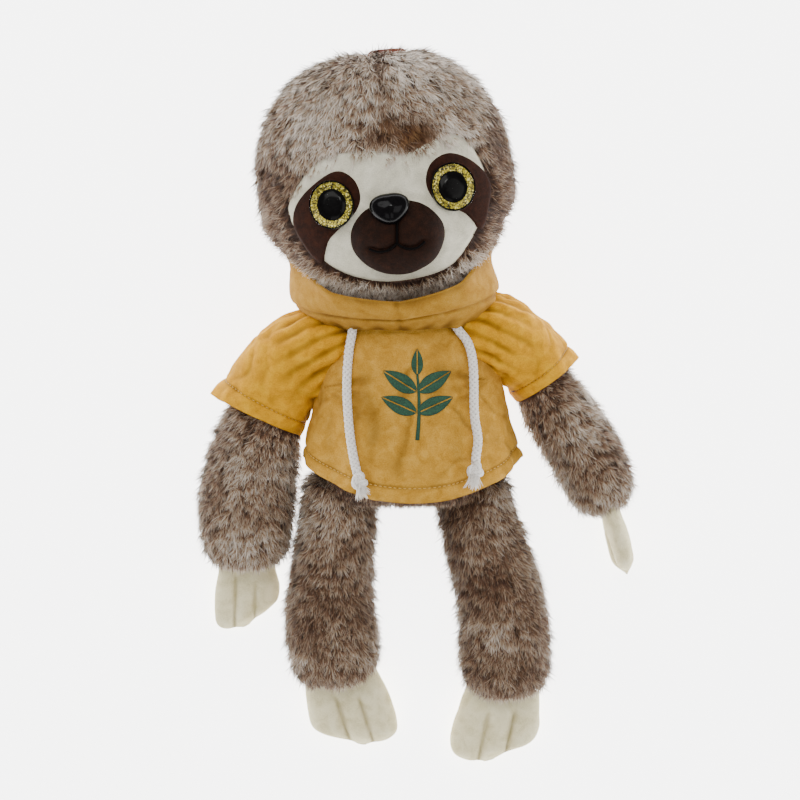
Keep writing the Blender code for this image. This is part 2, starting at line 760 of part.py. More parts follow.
def make_nose():
    centre = Vector((NOSE_X, NOSE_Y, NOSE_MID_Z))
    halves = Vector((NOSE_HALF_WIDTH, NOSE_HALF_HEIGHT, NOSE_HALF_DEPTH))
    nose = add_part("nose", ellipsoid("nose", centre, halves), "black_plastic")
    up = Vector((0, 0, 1))
    middle = centre - up * (NOSE_STEM_LENGTH / 2)
    stem = add_cutter(
        "nose_stem", cylinder("nose_stem", middle, up, NOSE_STEM_RADIUS, NOSE_STEM_LENGTH, STEM_SEGMENTS)
    )
    boolean(nose, stem, "UNION")
    room = add_cutter(
        "nose_room", ellipsoid("nose_room", centre, halves + Vector((1, 1, 1)) * GAP)
    )
    stem_room = add_cutter(
        "nose_stem_room",
        cylinder("nose_stem_room", middle, up, NOSE_STEM_RADIUS + GAP,
                 NOSE_STEM_LENGTH + 3 * GAP, STEM_SEGMENTS),
    )
    place = centre - up * (NOSE_STEM_LENGTH - WASHER_THICKNESS)
    washer = add_part(
        "nose_washer", cylinder("nose_washer", place, up, WASHER_RADIUS, WASHER_THICKNESS, WASHER_SEGMENTS),
        "nylon",
    )
    bore = add_cutter(
        "nose_washer_bore",
        cylinder("nose_washer_bore", place, up, NOSE_STEM_RADIUS + GAP, CUT_OVERRUN, STEM_SEGMENTS),
    )
    boolean(washer, bore)
    washer_room = add_cutter(
        "nose_washer_room",
        cylinder("nose_washer_room", place, up, WASHER_RADIUS + GAP,
                 WASHER_THICKNESS + 2 * GAP, WASHER_SEGMENTS),
    )
    return [nose, washer], room, stem_room, washer_room


def make_mouth():
    lift = MOUTH_THREAD_RADIUS + GAP
    smile = [muzzle_height(x, y, lift) for x, y in MOUTH_SMILE_SHARES]
    groove = [muzzle_height(x, y, lift) for x, y in MOUTH_GROOVE_SHARES]
    groove.insert(0, smile[len(smile) // 2])
    thread = add_part(
        "mouth_stitch",
        tube_curve(
            "mouth_stitch", smooth_points(smile, MOUTH_STEP), MOUTH_THREAD_RADIUS, THREAD_RESOLUTION
        ),
        "thread",
    )
    line = add_cutter(
        "mouth_groove",
        tube_curve(
            "mouth_groove", smooth_points(groove, MOUTH_STEP), MOUTH_THREAD_RADIUS, THREAD_RESOLUTION
        ),
    )
    boolean(thread, line, "UNION")
    return thread


def make_head(joint, place, neck_cutter, floor_cutter):
    inner = head_form("head_inner", -SKIN_THICKNESS)
    grown = head_form("head_grown", GAP)
    above = CUT_OVERRUN + HEAD_HALF_DEPTH
    window = add_cutter("face_window", outline_mesh("face_window", FACE_OUTLINE, 0, above))
    middle = sum((Vector(p) for p in FACE_OUTLINE), Vector((0, 0))) / len(FACE_OUTLINE)
    drawn_in = []
    for point in FACE_OUTLINE:
        out = Vector(point) - middle
        drawn_in.append(Vector(point) - out.normalized() * PANEL_DRAW_IN)
    pane = add_cutter("face_pane", outline_mesh("face_pane", drawn_in, 0, above))
    skin = head_form("head_skin", 0, "fur")
    boolean(skin, inner)
    boolean(skin, window)
    panel = head_form("face_panel", 0, "face_velour")
    boolean(panel, pane, "INTERSECT")
    boolean(panel, inner)
    filling = head_form("head_filling", -SKIN_THICKNESS - FILLING_EASE, "filling")
    head = [skin, panel, filling]
    world_cut = [neck_cutter, floor_cutter]
    patch_over = head_form("patch_over", PATCH_THICKNESS + GAP)
    patches = []
    for side, outline in (("left", PATCH_OUTLINE_LEFT), ("right", PATCH_OUTLINE_RIGHT)):
        patch = add_part(
            "eye_patch_" + side, outline_mesh("eye_patch", outline, 0, above), "dark_velour"
        )
        boolean(patch, patch_over, "INTERSECT")
        boolean(patch, grown)
        patches.append(patch)
    muzzle_skin, muzzle_filling = make_muzzle(grown)
    nose_parts, nose_room, stem_room, nose_washer_room = make_nose()
    mouth = make_mouth()
    for part in (muzzle_skin, muzzle_filling, panel):
        boolean(part, nose_room)
    for part in (muzzle_skin, muzzle_filling, panel, filling):
        boolean(part, stem_room)
    boolean(filling, nose_washer_room)
    tab = add_part(
        "crown_tab",
        box("crown_tab", (TAB_X - TAB_LENGTH / 2, 0, -TAB_WIDTH / 2),
            (TAB_X + TAB_LENGTH / 2, HEAD_HALF_HEIGHT + CUT_OVERRUN, TAB_WIDTH / 2)),
        "ribbon",
    )
    tab_over = head_form("tab_over", TAB_THICKNESS + GAP)
    boolean(tab, tab_over, "INTERSECT")
    boolean(tab, grown)
    eyes = []
    for side, patch in zip(("left", "right"), patches):
        pieces, rooms, washer_room = make_eye(side)
        eyes += pieces
        boolean(patch, rooms[0])
        boolean(panel, rooms[0])
        for part in (patch, panel, filling, skin):
            boolean(part, rooms[1])
        boolean(filling, washer_room)
        boolean(skin, rooms[0])
    every = head + patches + [muzzle_skin, muzzle_filling, mouth, tab] + nose_parts + eyes
    for piece in every + [c for c in CUTTERS.objects if c not in world_cut]:
        if piece.parent is None and piece.name not in KEPT_IN_WORLD:
            piece.parent = joint
            piece.location = place
    for part in (skin, filling):
        boolean(part, neck_cutter)
        boolean(part, floor_cutter)
    return every


# Arms and legs
def limb_form(name, places, grow, finish=None):
    sides = INNER_SIDES if grow < 0 else RING_SIDES
    mesh = cage_mesh(name, path_rings(places, grow, sides))
    made = add_part(name, mesh, finish) if finish else add_cutter(name, mesh)
    smooth(made, FORM_LEVELS)
    return made


def make_limb(name, side, places, root_form, end_cutter, floor_cutter, seats=None):
    """Skin and filling, joined to the rounded root and cut for the hand or foot."""
    inner = limb_form(f"{name}_inner_{side}", places, -SKIN_THICKNESS)
    skin = limb_form(f"{name}_skin_{side}", places, 0.0, "fur")
    filling = limb_form(
        f"{name}_filling_{side}", places, -SKIN_THICKNESS - FILLING_EASE, "filling"
    )
    if seats:
        for part, seat in zip((skin, inner, filling), seats):
            boolean(part, seat)
    boolean(skin, root_form, "UNION")
    boolean(skin, inner)
    for part in (skin, filling):
        boolean(part, end_cutter)
    boolean(skin, floor_cutter)
    return skin, filling


def mitt_mesh(name, hinge, out, axis, halves, length, grow=0.0):
    """Rings from the hinge outwards: thin at the roll, full at the knuckles."""
    out = Vector(out).normalized()
    wide = Vector(axis)
    wide = (wide - out * wide.dot(out)).normalized()
    thick = wide.cross(out)
    rings = []
    last = len(MITT_LENGTH_SHARES) - 1
    for i, share in enumerate(MITT_LENGTH_SHARES):
        centre = Vector(hinge) + out * (share * length + grow * (i == last))
        side = wide * (halves[0] * MITT_WIDTH_SHARES[i] + grow)
        front = thick * (halves[1] * MITT_THICKNESS_SHARES[i] + grow)
        rings.append(ring(centre, side, front, RING_SIDES))
    return cage_mesh(name, rings)


def make_mitt(name, side, hinge, halves, length, roll, roll_half):
    place, out, axis = hinge
    mitt = add_part(
        f"{name}_{side}", mitt_mesh(name, place, out, axis, halves, length), "claw_velour"
    )
    smooth(mitt, FORM_LEVELS)
    core = add_cutter(f"{name}_roll_{side}", roll_mesh("roll", place, axis, roll, roll_half))
    boolean(mitt, core, "UNION")
    room = add_cutter(
        f"{name}_room_{side}",
        roll_mesh("room", place, axis, roll + 2 * GAP, roll_half + 2 * GAP),
    )
    return mitt, room


# Hooded top
def top_point(row, turn, grow):
    """A point on the top's body: row from neck to hem, turn round it from the left side."""
    down = row / TOP_ROWS
    front = math.sin(turn)
    dip = abs(front) ** TOP_DIP_POWER
    low = TOP_HEM_FRONT_Y if front > 0 else TOP_HEM_BACK_Y
    hem_y = TOP_HEM_SIDE_Y + (low - TOP_HEM_SIDE_Y) * dip
    y = TOP_NECK_Y + (hem_y - TOP_NECK_Y) * down
    chest = math.sin(min(down / TOP_CHEST_SHARE, 1.0) * math.pi / 2)
    flare = max(down - TOP_CHEST_SHARE, 0.0) / (1 - TOP_CHEST_SHARE)
    wide = TOP_NECK_HALF_WIDTH + (TOP_CHEST_HALF_WIDTH - TOP_NECK_HALF_WIDTH) * chest
    wide += (TOP_HEM_HALF_WIDTH - TOP_CHEST_HALF_WIDTH) * flare
    deep = TOP_NECK_HALF_DEPTH + (TOP_CHEST_HALF_DEPTH - TOP_NECK_HALF_DEPTH) * chest
    deep += (TOP_HEM_HALF_DEPTH - TOP_CHEST_HALF_DEPTH) * flare
    if front < 0:
        deep = min(deep, TOP_BACK_HALF_DEPTH)
    fold = TOP_FOLD_DEPTH * down**2 * (1 + math.cos(TOP_FOLDS * turn + TOP_FOLD_TURN)) / 2
    if front < TOP_FLAT_BACK_SHARE:
        fold = 0.0
    swell = grow + fold
    x = TOP_HEM_X * down + (wide + swell) * math.cos(turn)
    z = TOP_MID_Z + (deep + swell) * front
    return Vector((x, y, z))


def top_rings(grow, past=0.0):
    """Rings of the body tube, the two end ones moved past its rims."""
    rings = [
        [top_point(row, 2 * math.pi * i / TOP_SIDES, grow) for i in range(TOP_SIDES)]
        for row in range(TOP_ROWS + 1)
    ]
    for end, way in ((rings[0], past), (rings[-1], -past)):
        for point in end:
            point.y += way
    return rings


def make_top_body(floor_cutter, sleeve_rooms):
    body = add_part("top_body", cage_mesh("top_body", top_rings(0.0), False), "top_velour")
    wall = body.modifiers.new("cloth", "SOLIDIFY")
    wall.thickness = CLOTH_THICKNESS
    wall.offset = 1.0
    for room in sleeve_rooms:
        boolean(body, room)
    boolean(body, floor_cutter)
    return body


def make_sleeve(side, top_solid, arm_room, floor_cutter):
    places = SLEEVE_PLACES[side]
    sleeve = add_part(
        "sleeve_" + side,
        cage_mesh("sleeve", path_rings(places, 0.0, SLEEVE_SIDES, False), False), "top_velour",
    )
    smooth(sleeve, FORM_LEVELS)
    wall = sleeve.modifiers.new("cloth", "SOLIDIFY")
    wall.thickness = CLOTH_THICKNESS
    wall.offset = -1.0
    # The exact solver loses the sleeve at some widths of the top, the manifold one doesn't
    boolean(sleeve, top_solid, solver="MANIFOLD")
    boolean(sleeve, arm_room, solver="MANIFOLD")
    boolean(sleeve, floor_cutter)
    return sleeve


def rim_point(corners, turn):
    """A point on a rim through four places: left, front, right and back."""
    left, front, right, back = (Vector(c) for c in corners)
    middle = (left + front + right + back) / 4
    across, up = math.cos(turn), math.sin(turn)
    sideways = (left - middle) * max(across, 0) + (right - middle) * max(-across, 0)
    upright = (front - middle) * max(up, 0) + (back - middle) * max(-up, 0)
    return middle + sideways + upright


def make_collar(head_room, neighbours):
    rows = []
    for share in COLLAR_ROW_SHARES:
        row = []
        for i in range(COLLAR_SIDES):
            turn = 2 * math.pi * i / COLLAR_SIDES
            low, high = rim_point(COLLAR_LOW, turn), rim_point(COLLAR_TOP, turn)
            point = low.lerp(high, share)
            out = Vector((math.cos(turn), COLLAR_LEAN_SHARE, math.sin(turn))).normalized()
            belly = COLLAR_BELLY_SHARE * (high - low).length * math.sin(math.pi * share)
            row.append(point + out * belly)
        rows.append(row)
    collar = add_part("hood_collar", cage_mesh("hood_collar", rows, False), "top_velour")
    wall = collar.modifiers.new("cloth", "SOLIDIFY")
    wall.thickness = COLLAR_THICKNESS
    wall.offset = 1.0
    for other in neighbours:
        boolean(collar, other)
    boolean(collar, head_room)
    return collar


def make_print():
    """A sprig: a stalk and leaves cut from a thin layer that follows the chest."""
    def leaf(name, place_share):
        x, y, way_deg, long_share = place_share
        length = PRINT_HALF_HEIGHT * long_share
        half = length * LEAF_FAT_SHARE
        turn = Matrix.Rotation(math.radians(way_deg), 2)
        base = Vector((PRINT_X + x * PRINT_HALF_WIDTH, PRINT_Y + y * PRINT_HALF_HEIGHT))
        points = [base + turn @ Vector((u * length, v * half)) for u, v in LEAF_OUTLINE_SHARES]
        return outline_mesh(name, points, TOP_MID_Z, TOP_MID_Z + 2 * TOP_HEM_HALF_DEPTH, LEAF_RESOLUTION)

    ink = add_part("chest_print", leaf("leaf_0", LEAF_PLACES_SHARES[0]), "print_ink")
    half = PRINT_HALF_WIDTH * PRINT_STALK_WIDTH_SHARE / 2
    stalk = add_cutter(
        "stalk",
        box("stalk", (PRINT_X - half, PRINT_Y - PRINT_HALF_HEIGHT, TOP_MID_Z),
            (PRINT_X + half, PRINT_Y + PRINT_HALF_HEIGHT * STALK_TOP_SHARE,
             TOP_MID_Z + 2 * TOP_HEM_HALF_DEPTH)),
    )
    boolean(ink, stalk, "UNION")
    for i, share in enumerate(LEAF_PLACES_SHARES[1:], start=1):
        boolean(ink, add_cutter(f"leaf_{i}", leaf(f"leaf_{i}", share)), "UNION")
    lift = CLOTH_THICKNESS + GAP
    over = add_cutter("print_over", cage_mesh("print_over", top_rings(lift + PRINT_THICKNESS)))
    under = add_cutter("print_under", cage_mesh("print_under", top_rings(lift)))
    boolean(ink, over, "INTERSECT")
    boolean(ink, under)
    return ink


def make_cord(side):
    points = smooth_points(CORD_ROUTES[side], CORD_STEP)
    add_part(
        "drawstring_" + side, tube_curve("drawstring", points, CORD_RADIUS), "cotton_cord"
    )
    way = (points[-1] - points[-2]).normalized()
    centre = points[-1] + way * (KNOT_LENGTH / 2 + GAP)
    add_part(
        "knot_" + side, roll_mesh("knot", centre, way, KNOT_RADIUS, KNOT_LENGTH / 2), "cotton_cord"
    )
    return add_cutter("cord_room_" + side, tube_curve("cord_room", points, CORD_RADIUS + GAP))


KEPT_IN_WORLD = set()


def world_cutter(name, mesh):
    KEPT_IN_WORLD.add(name)
    return add_cutter(name, mesh)


def build():
    neck = Vector((NECK_X, NECK_Y, NECK_Z))
    head_at = Vector((HEAD_X, HEAD_Y, HEAD_Z))
    turn = (0.0, math.radians(HEAD_YAW_DEG), math.radians(HEAD_ROLL_DEG))
    wide = FLOOR_CUTTER_HALF_WIDTH
    floor_cutter = world_cutter("floor", box("floor", (-wide, -wide, -wide), (wide, wide, 0)))
    neck_room = world_cutter("neck_room", ball("neck_room", neck, NECK_RADIUS + 2 * GAP))

    # Head first, so that its pieces share one frame on the neck joint
    head_joint = empty("head_joint", neck, turn)
    place = head_joint.matrix_world.inverted() @ head_at
    make_head(head_joint, place, neck_room, floor_cutter)
    for made in list(CUTTERS.objects):
        KEPT_IN_WORLD.add(made.name)

    # Neck
    neck_joint = empty("neck_joint", neck)
    wad = add_part("neck_filling", ball("neck_filling", neck, NECK_RADIUS), "filling")
    hang_on([wad], neck_joint)

    # Arms, legs, hands and feet; the legs butt against the torso's seat
    seats = []
    for grow in (2 * GAP, 2 * GAP + SKIN_THICKNESS, 2 * GAP + SKIN_THICKNESS + FILLING_EASE):
        seat = add_cutter(f"seat_{len(seats)}", torso_mesh("seat", grow))
        smooth(seat, FORM_LEVELS)
        seats.append(seat)
    sockets = []
    for side in ("left", "right"):
        for name, places, root, hinge in (
            ("arm", ARM_PLACES[side], "shoulder",
             (HAND_HINGE_PLACES[side], HAND_WAY_SHARES[side], HAND_AXIS_SHARES[side])),
            ("leg", LEG_PLACES[side], "hip",
             (FOOT_HINGE_PLACES[side], FOOT_WAY_SHARES[side], FOOT_AXIS_SHARES[side])),
        ):
            if name == "arm":
                pivot = Vector(places[0][:3])
                root_mesh = ball("shoulder", pivot, SHOULDER_RADIUS, True)
                room_mesh = ball("shoulder_room", pivot, SHOULDER_RADIUS + 3 * GAP, True)
                mitt, room = make_mitt(
                    "hand", side, hinge, (HAND_HALF_WIDTH, HAND_HALF_THICKNESS), HAND_LENGTH,
                    HAND_ROLL_RADIUS, HAND_ROLL_HALF_LENGTH,
                )
            else:
                pivot = Vector(HIP_PLACES[side])
                root_mesh = roll_mesh("hip", pivot, (1, 0, 0), HIP_RADIUS, HIP_HALF_LENGTH)
                room_mesh = roll_mesh(
                    "hip_room", pivot, (1, 0, 0), HIP_RADIUS + 2 * GAP, HIP_HALF_LENGTH + 2 * GAP
                )
                mitt, room = make_mitt(
                    "foot", side, hinge, (FOOT_HALF_WIDTH, FOOT_HALF_THICKNESS), FOOT_LENGTH,
                    FOOT_ROLL_RADIUS, FOOT_ROLL_HALF_LENGTH,
                )
            root_form = add_cutter(f"{root}_{side}", root_mesh)
            sockets.append(add_cutter(f"{root}_room_{side}", room_mesh))
            skin, filling = make_limb(
                name, side, places, root_form, room, floor_cutter, seats if name == "leg" else None
            )
            boolean(mitt, floor_cutter)
            limb_joint = empty(f"{root}_joint_{side}", pivot)
            hang_on([skin, filling], limb_joint)
            end_joint = empty(f"{mitt.name}_joint", Vector(hinge[0]))
            hang_on([mitt], end_joint)
            end_joint.parent = limb_joint
            end_joint.matrix_parent_inverse = limb_joint.matrix_world.inverted()

    # Torso
    make_torso(neck_room, sockets)

    # Hooded top
    top_solid = add_cutter(
        "top_solid", cage_mesh("top_solid", top_rings(CLOTH_THICKNESS + GAP, CLOTH_THICKNESS))
    )
    rooms = []
    for side in ("left", "right"):
        room = add_cutter(
            "sleeve_room_" + side,
            cage_mesh(
                "sleeve_room", path_rings(SLEEVE_PLACES[side], GAP, SLEEVE_SIDES), crisp_ends=True
            ),
        )
        smooth(room, FORM_LEVELS)
        rooms.append(room)
        arm_room = limb_form(f"arm_clearance_{side}", ARM_PLACES[side], CLOTH_EASE)
        make_sleeve(side, top_solid, arm_room, floor_cutter)
    make_top_body(floor_cutter, rooms)
    head_room = head_form("head_room", CLOTH_EASE)
    head_room.parent = head_joint
    head_room.location = place
    cord_rooms = [make_cord(side) for side in ("left", "right")]
    make_collar(head_room, [top_solid, *rooms, *cord_rooms, floor_cutter])
    make_print()


build()
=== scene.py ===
# The looks of the plush sloth: fur, velour, hooded top, drawstrings and eyes.
# Metres. +Z points out of the face, +Y to the crown, +X to the toy's own left.
# The toy lies on its back on a pale floor, seen from straight above.

import math

import bmesh
import bpy
import numpy as np
from mathutils import Euler, Matrix, Vector, noise
from mathutils.bvhtree import BVHTree


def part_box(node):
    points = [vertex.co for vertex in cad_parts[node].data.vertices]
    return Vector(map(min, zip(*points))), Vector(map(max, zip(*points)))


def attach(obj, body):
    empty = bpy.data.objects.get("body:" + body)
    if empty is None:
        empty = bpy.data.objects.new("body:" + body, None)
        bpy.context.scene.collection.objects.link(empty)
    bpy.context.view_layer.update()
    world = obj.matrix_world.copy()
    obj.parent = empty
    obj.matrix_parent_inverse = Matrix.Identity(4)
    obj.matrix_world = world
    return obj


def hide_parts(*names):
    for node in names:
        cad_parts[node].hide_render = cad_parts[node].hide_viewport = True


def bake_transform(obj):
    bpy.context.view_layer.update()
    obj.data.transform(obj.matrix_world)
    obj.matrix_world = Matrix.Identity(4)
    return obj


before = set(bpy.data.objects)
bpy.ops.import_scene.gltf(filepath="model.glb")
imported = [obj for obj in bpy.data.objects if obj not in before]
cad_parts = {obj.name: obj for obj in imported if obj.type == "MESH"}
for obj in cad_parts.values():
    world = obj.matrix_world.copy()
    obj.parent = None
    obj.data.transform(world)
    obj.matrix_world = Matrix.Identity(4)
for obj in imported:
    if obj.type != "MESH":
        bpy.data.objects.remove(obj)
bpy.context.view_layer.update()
MILLI = 0.001

# Camera, in the place that the photograph was taken from
CAMERA_PLACE = (-0.00275, 0.0110, 1.2500)
CAMERA_LENS_MM = 98.18
CAMERA_SENSOR_MM = 36.0

# Stage and lights: (name, place, size in metres, watts)
FLOOR_HALF_WIDTH = 4.0
WORLD_STRENGTH = 0.55
FLOOR_GLOW = 5.0
LIGHTS = (
    ("key_softbox", (-0.45, 0.75, 1.35), 0.90, 13.0),
    ("fill_softbox", (0.80, -0.10, 1.20), 0.90, 6.0),
    ("low_softbox", (-0.10, -1.00, 1.00), 0.80, 3.5),
    ("small_lamp", (0.08, 0.40, 1.10), 0.08, 1.6),
)

# Drawstrings: the routes of the solids, from the neck seam to the end knot
CORD_RADIUS = 0.0027
CORD_ROUTES = {
    "right": (
        (-0.0282, 0.0508, 0.0688), (-0.0290, 0.0450, 0.0696), (-0.0303, 0.0375, 0.0712),
        (-0.0314, 0.0216, 0.0743), (-0.0309, 0.0057, 0.0757), (-0.0293, -0.0102, 0.0776),
        (-0.0272, -0.0219, 0.0800), (-0.0256, -0.0283, 0.0828),
    ),
    "left": (
        (0.0248, 0.0551, 0.0676), (0.0291, 0.0487, 0.0676), (0.0339, 0.0423, 0.0680),
        (0.0365, 0.0328, 0.0694), (0.0371, 0.0206, 0.0725), (0.0371, 0.0099, 0.0738),
        (0.0376, 0.0004, 0.0748), (0.0392, -0.0102, 0.0754), (0.0381, -0.0193, 0.0778),
        (0.0379, -0.0225, 0.0790),
    ),
}
BRAID_STEP = 0.0005
BRAID_STRANDS = 8
BRAID_PITCH = 0.0115
BRAID_STRAND_RADIUS = 0.00092
BRAID_MIDDLE_RADIUS = 0.00140
BRAID_WEAVE = 0.00040
BRAID_CORE_RADIUS = 0.00125
BRAID_STRAND_SIDES = 6
KNOT_LENGTH = 0.0090
KNOT_LOOP_RADIUS = 0.0024
KNOT_TUBE_RADIUS = 0.0019
TASSEL_THREADS = 90
TASSEL_LENGTH = 0.0085
TASSEL_THREAD_RADIUS = 0.00024
TASSEL_FALL = Vector((0, 0, -0.0016))

# Head, tilted on the neck, as in the solids
HEAD_HALF_WIDTH = 0.0695
HEAD_HALF_HEIGHT = 0.0690
HEAD_HALF_DEPTH = 0.0580
HEAD_TURN_DEG = (0.0, 0.0, 8.0)
HEAD_PLACE = (-0.0109, 0.1320, 0.0563)
HEAD_LEVEL_SHARES = (-1.0, -0.88, -0.52, 0.0, 0.50, 0.88, 1.0)
HEAD_WIDTH_SHARES = (0.36, 0.70, 0.97, 1.03, 0.97, 0.66, 0.34)
HEAD_DEPTH_SHARES = (0.36, 0.70, 0.95, 1.00, 0.93, 0.68, 0.36)
HEAD_SIDES = 12
FACE_OUTLINE = (
    (-0.0576, -0.0140), (-0.0440, 0.0060), (-0.0293, 0.0129), (-0.0091, 0.0125),
    (0.0130, 0.0080), (0.0288, 0.0137), (0.0430, 0.0160), (0.0540, 0.0030),
    (0.0560, -0.0150), (0.0466, -0.0385), (0.0300, -0.0570), (0.0038, -0.0620),
    (-0.0200, -0.0580), (-0.0406, -0.0446),
)
PATCH_OUTLINES = {
    "right": (
        (-0.0269, 0.0029), (-0.0165, -0.0020), (-0.0136, -0.0132), (-0.0193, -0.0225),
        (-0.0335, -0.0327), (-0.0400, -0.0440), (-0.0478, -0.0340), (-0.0523, -0.0190),
        (-0.0455, -0.0070),
    ),
    "left": (
        (0.0345, 0.0046), (0.0235, -0.0003), (0.0196, -0.0115), (0.0250, -0.0226),
        (0.0380, -0.0284), (0.0470, -0.0375), (0.0530, -0.0250), (0.0550, -0.0120),
        (0.0470, -0.0008),
    ),
}
PATCH_THICKNESS = 0.0011
RIBBON_THICKNESS = 0.0012
RIBBON_LIFT = 0.0036
RIBBON_SLOPE = 1.00
RIBBON_FORWARD = 0.0160
RIBBON_WIDTH = 0.0055
JAW_DRAW = 0.0050

# Eyes, muzzle, nose and mouth
EYE_RADIUS = 0.0118
EYE_HEIGHT_SHARE = 1.08
PUPIL_RADIUS = 0.0076
EYE_DOME_HEIGHT = 0.0042
MUZZLE_PLACE = (0.0018, -0.0345, 0.0475)
MUZZLE_HALVES = (0.0250, 0.0212, 0.0150)
MUZZLE_TILT_DEG = -8.0
NOSE_PLACE = (-0.0002, -0.0215, 0.0615)
NOSE_HALVES = (0.0104, 0.0084, 0.0070)
MOUTH_SMILE_SHARES = (
    (-0.58, -0.40), (-0.40, -0.47), (-0.22, -0.45), (-0.08, -0.36), (0.0, -0.28),
    (0.08, -0.34), (0.24, -0.40), (0.42, -0.37), (0.58, -0.22),
)
MOUTH_GROOVE_SHARES = ((0.0, -0.28), (0.0, -0.12), (0.0, 0.06), (0.0, 0.26))
MOUTH_THREAD_RADIUS = 0.00052

# Torso, arms and legs: (x, y, z, half width, half depth) along each
TORSO_TOP_Y = 0.0605
TORSO_SEAT_Y = -0.0525
TORSO_HALF_WIDTH = 0.0485
TORSO_HALF_DEPTH = 0.0365
TORSO_MID_Z = 0.0400
TORSO_TUCK_Y = -0.0440
LEG_TUCK = 0.0160
TORSO_LENGTH_SHARES = (0.0, 0.10, 0.30, 0.55, 0.80, 1.0)
TORSO_WIDTH_SHARES = (0.74, 0.96, 1.0, 0.90, 0.80, 0.58)
TORSO_DEPTH_SHARES = (0.52, 0.88, 1.0, 0.95, 0.82, 0.62)
ARM_PLACES = {
    "right": (
        (-0.0430, 0.0450, 0.0430, 0.0120, 0.0120), (-0.0620, 0.0250, 0.0360, 0.0180, 0.0180),
        (-0.0820, -0.0060, 0.0260, 0.0225, 0.0220), (-0.0895, -0.0400, 0.0215, 0.0262, 0.0235),
        (-0.0895, -0.0670, 0.0195, 0.0245, 0.0210), (-0.0890, -0.0820, 0.0165, 0.0185, 0.0160),
    ),
    "left": (
        (0.0430, 0.0500, 0.0430, 0.0120, 0.0120), (0.0620, 0.0350, 0.0370, 0.0155, 0.0180),
        (0.0835, 0.0090, 0.0260, 0.0172, 0.0225), (0.0990, -0.0140, 0.0225, 0.0190, 0.0240),
        (0.1090, -0.0340, 0.0210, 0.0185, 0.0225), (0.1150, -0.0500, 0.0205, 0.0145, 0.0175),
    ),
}
LEG_PLACES = {
    "right": (
        (-0.0360, -0.0440, 0.0310, 0.0190, 0.0200), (-0.0385, -0.0650, 0.0275, 0.0205, 0.0205),
        (-0.0420, -0.0900, 0.0235, 0.0215, 0.0215), (-0.0425, -0.1120, 0.0215, 0.0242, 0.0232),
        (-0.0395, -0.1330, 0.0205, 0.0242, 0.0222), (-0.0375, -0.1470, 0.0165, 0.0200, 0.0170),
    ),
    "left": (
        (0.0380, -0.0440, 0.0310, 0.0190, 0.0200), (0.0430, -0.0650, 0.0275, 0.0210, 0.0205),
        (0.0520, -0.0900, 0.0235, 0.0220, 0.0215), (0.0560, -0.1130, 0.0215, 0.0240, 0.0232),
        (0.0565, -0.1380, 0.0205, 0.0245, 0.0222), (0.0570, -0.1540, 0.0165, 0.0200, 0.0170),
    ),
}
LIMB_SIDES = 8
FORM_LEVELS = 3

# Hands and feet: hinge, way out and width axis, then half width, half thickness and length
HAND_HINGES = {
    "right": ((-0.0890, -0.0790, 0.0105), (-0.04, -1.0, -0.17), (1.0, 0.0, 0.0)),
    "left": ((0.1155, -0.0490, 0.0175), (0.26, -1.0, 0.0), (0.0, 0.0, 1.0)),
}
FOOT_HINGES = {
    "right": ((-0.0375, -0.1430, 0.0136), (0.30, -1.0, -0.20), (1.0, 0.0, 0.0)),
    "left": ((0.0565, -0.1510, 0.0136), (-0.20, -1.0, -0.20), (1.0, 0.0, 0.0)),
}
HAND_SIZE = (0.0182, 0.0066, 0.0395)
FOOT_SIZE = (0.0240, 0.0090, 0.0450)
MITT_LENGTH_SHARES = (0.0, 0.22, 0.45, 0.72, 0.92, 1.0)
MITT_WIDTH_SHARES = (0.84, 0.92, 1.0, 0.98, 0.80, 0.52)
MITT_THICKNESS_SHARES = (0.80, 0.88, 1.0, 0.96, 0.76, 0.50)

# Each mitt's grooves, as (place across, start along) in shares, and how far its end slants
MITT_CUTS = {
    "hand_right": (((-0.36, 0.16), (0.26, 0.30)), 0.30),
    "hand_left": (((-0.30, 0.30), (0.34, 0.30)), 0.0),
    "foot_right": (((-0.22, 0.20), (0.30, 0.24)), -0.24),
    "foot_left": (((-0.26, 0.24), (0.34, 0.16)), 0.28),
}

# Hooded top, as in the solids
TOP_NECK_Y = 0.0520
TOP_HEM_FRONT_Y = -0.0445
TOP_HEM_SIDE_Y = -0.0200
TOP_HEM_BACK_Y = -0.0360
TOP_HEM_X = 0.0040
TOP_NECK_HALF_WIDTH = 0.0370
TOP_CHEST_HALF_WIDTH = 0.0500
TOP_HEM_HALF_WIDTH = 0.0575
TOP_NECK_HALF_DEPTH = 0.0300
TOP_CHEST_HALF_DEPTH = 0.0385
TOP_HEM_HALF_DEPTH = 0.0405
TOP_BACK_HALF_DEPTH = 0.0386
TOP_MID_Z = 0.0400
TOP_CHEST_SHARE = 0.45
TOP_FOLDS = 9
TOP_FOLD_DEPTH = 0.0022
CLOTH_THICKNESS = 0.0019
TOP_HEM_SHARE = 0.085
STITCH_LENGTH = 0.0018
STITCH_RADIUS = 0.00028
SLEEVE_SEAM_SHARE = 0.865
SLEEVE_HEM_DRAW = 0.0060
SLEEVE_HEM_SKEWS = {"right": 0.0040, "left": -0.0018}
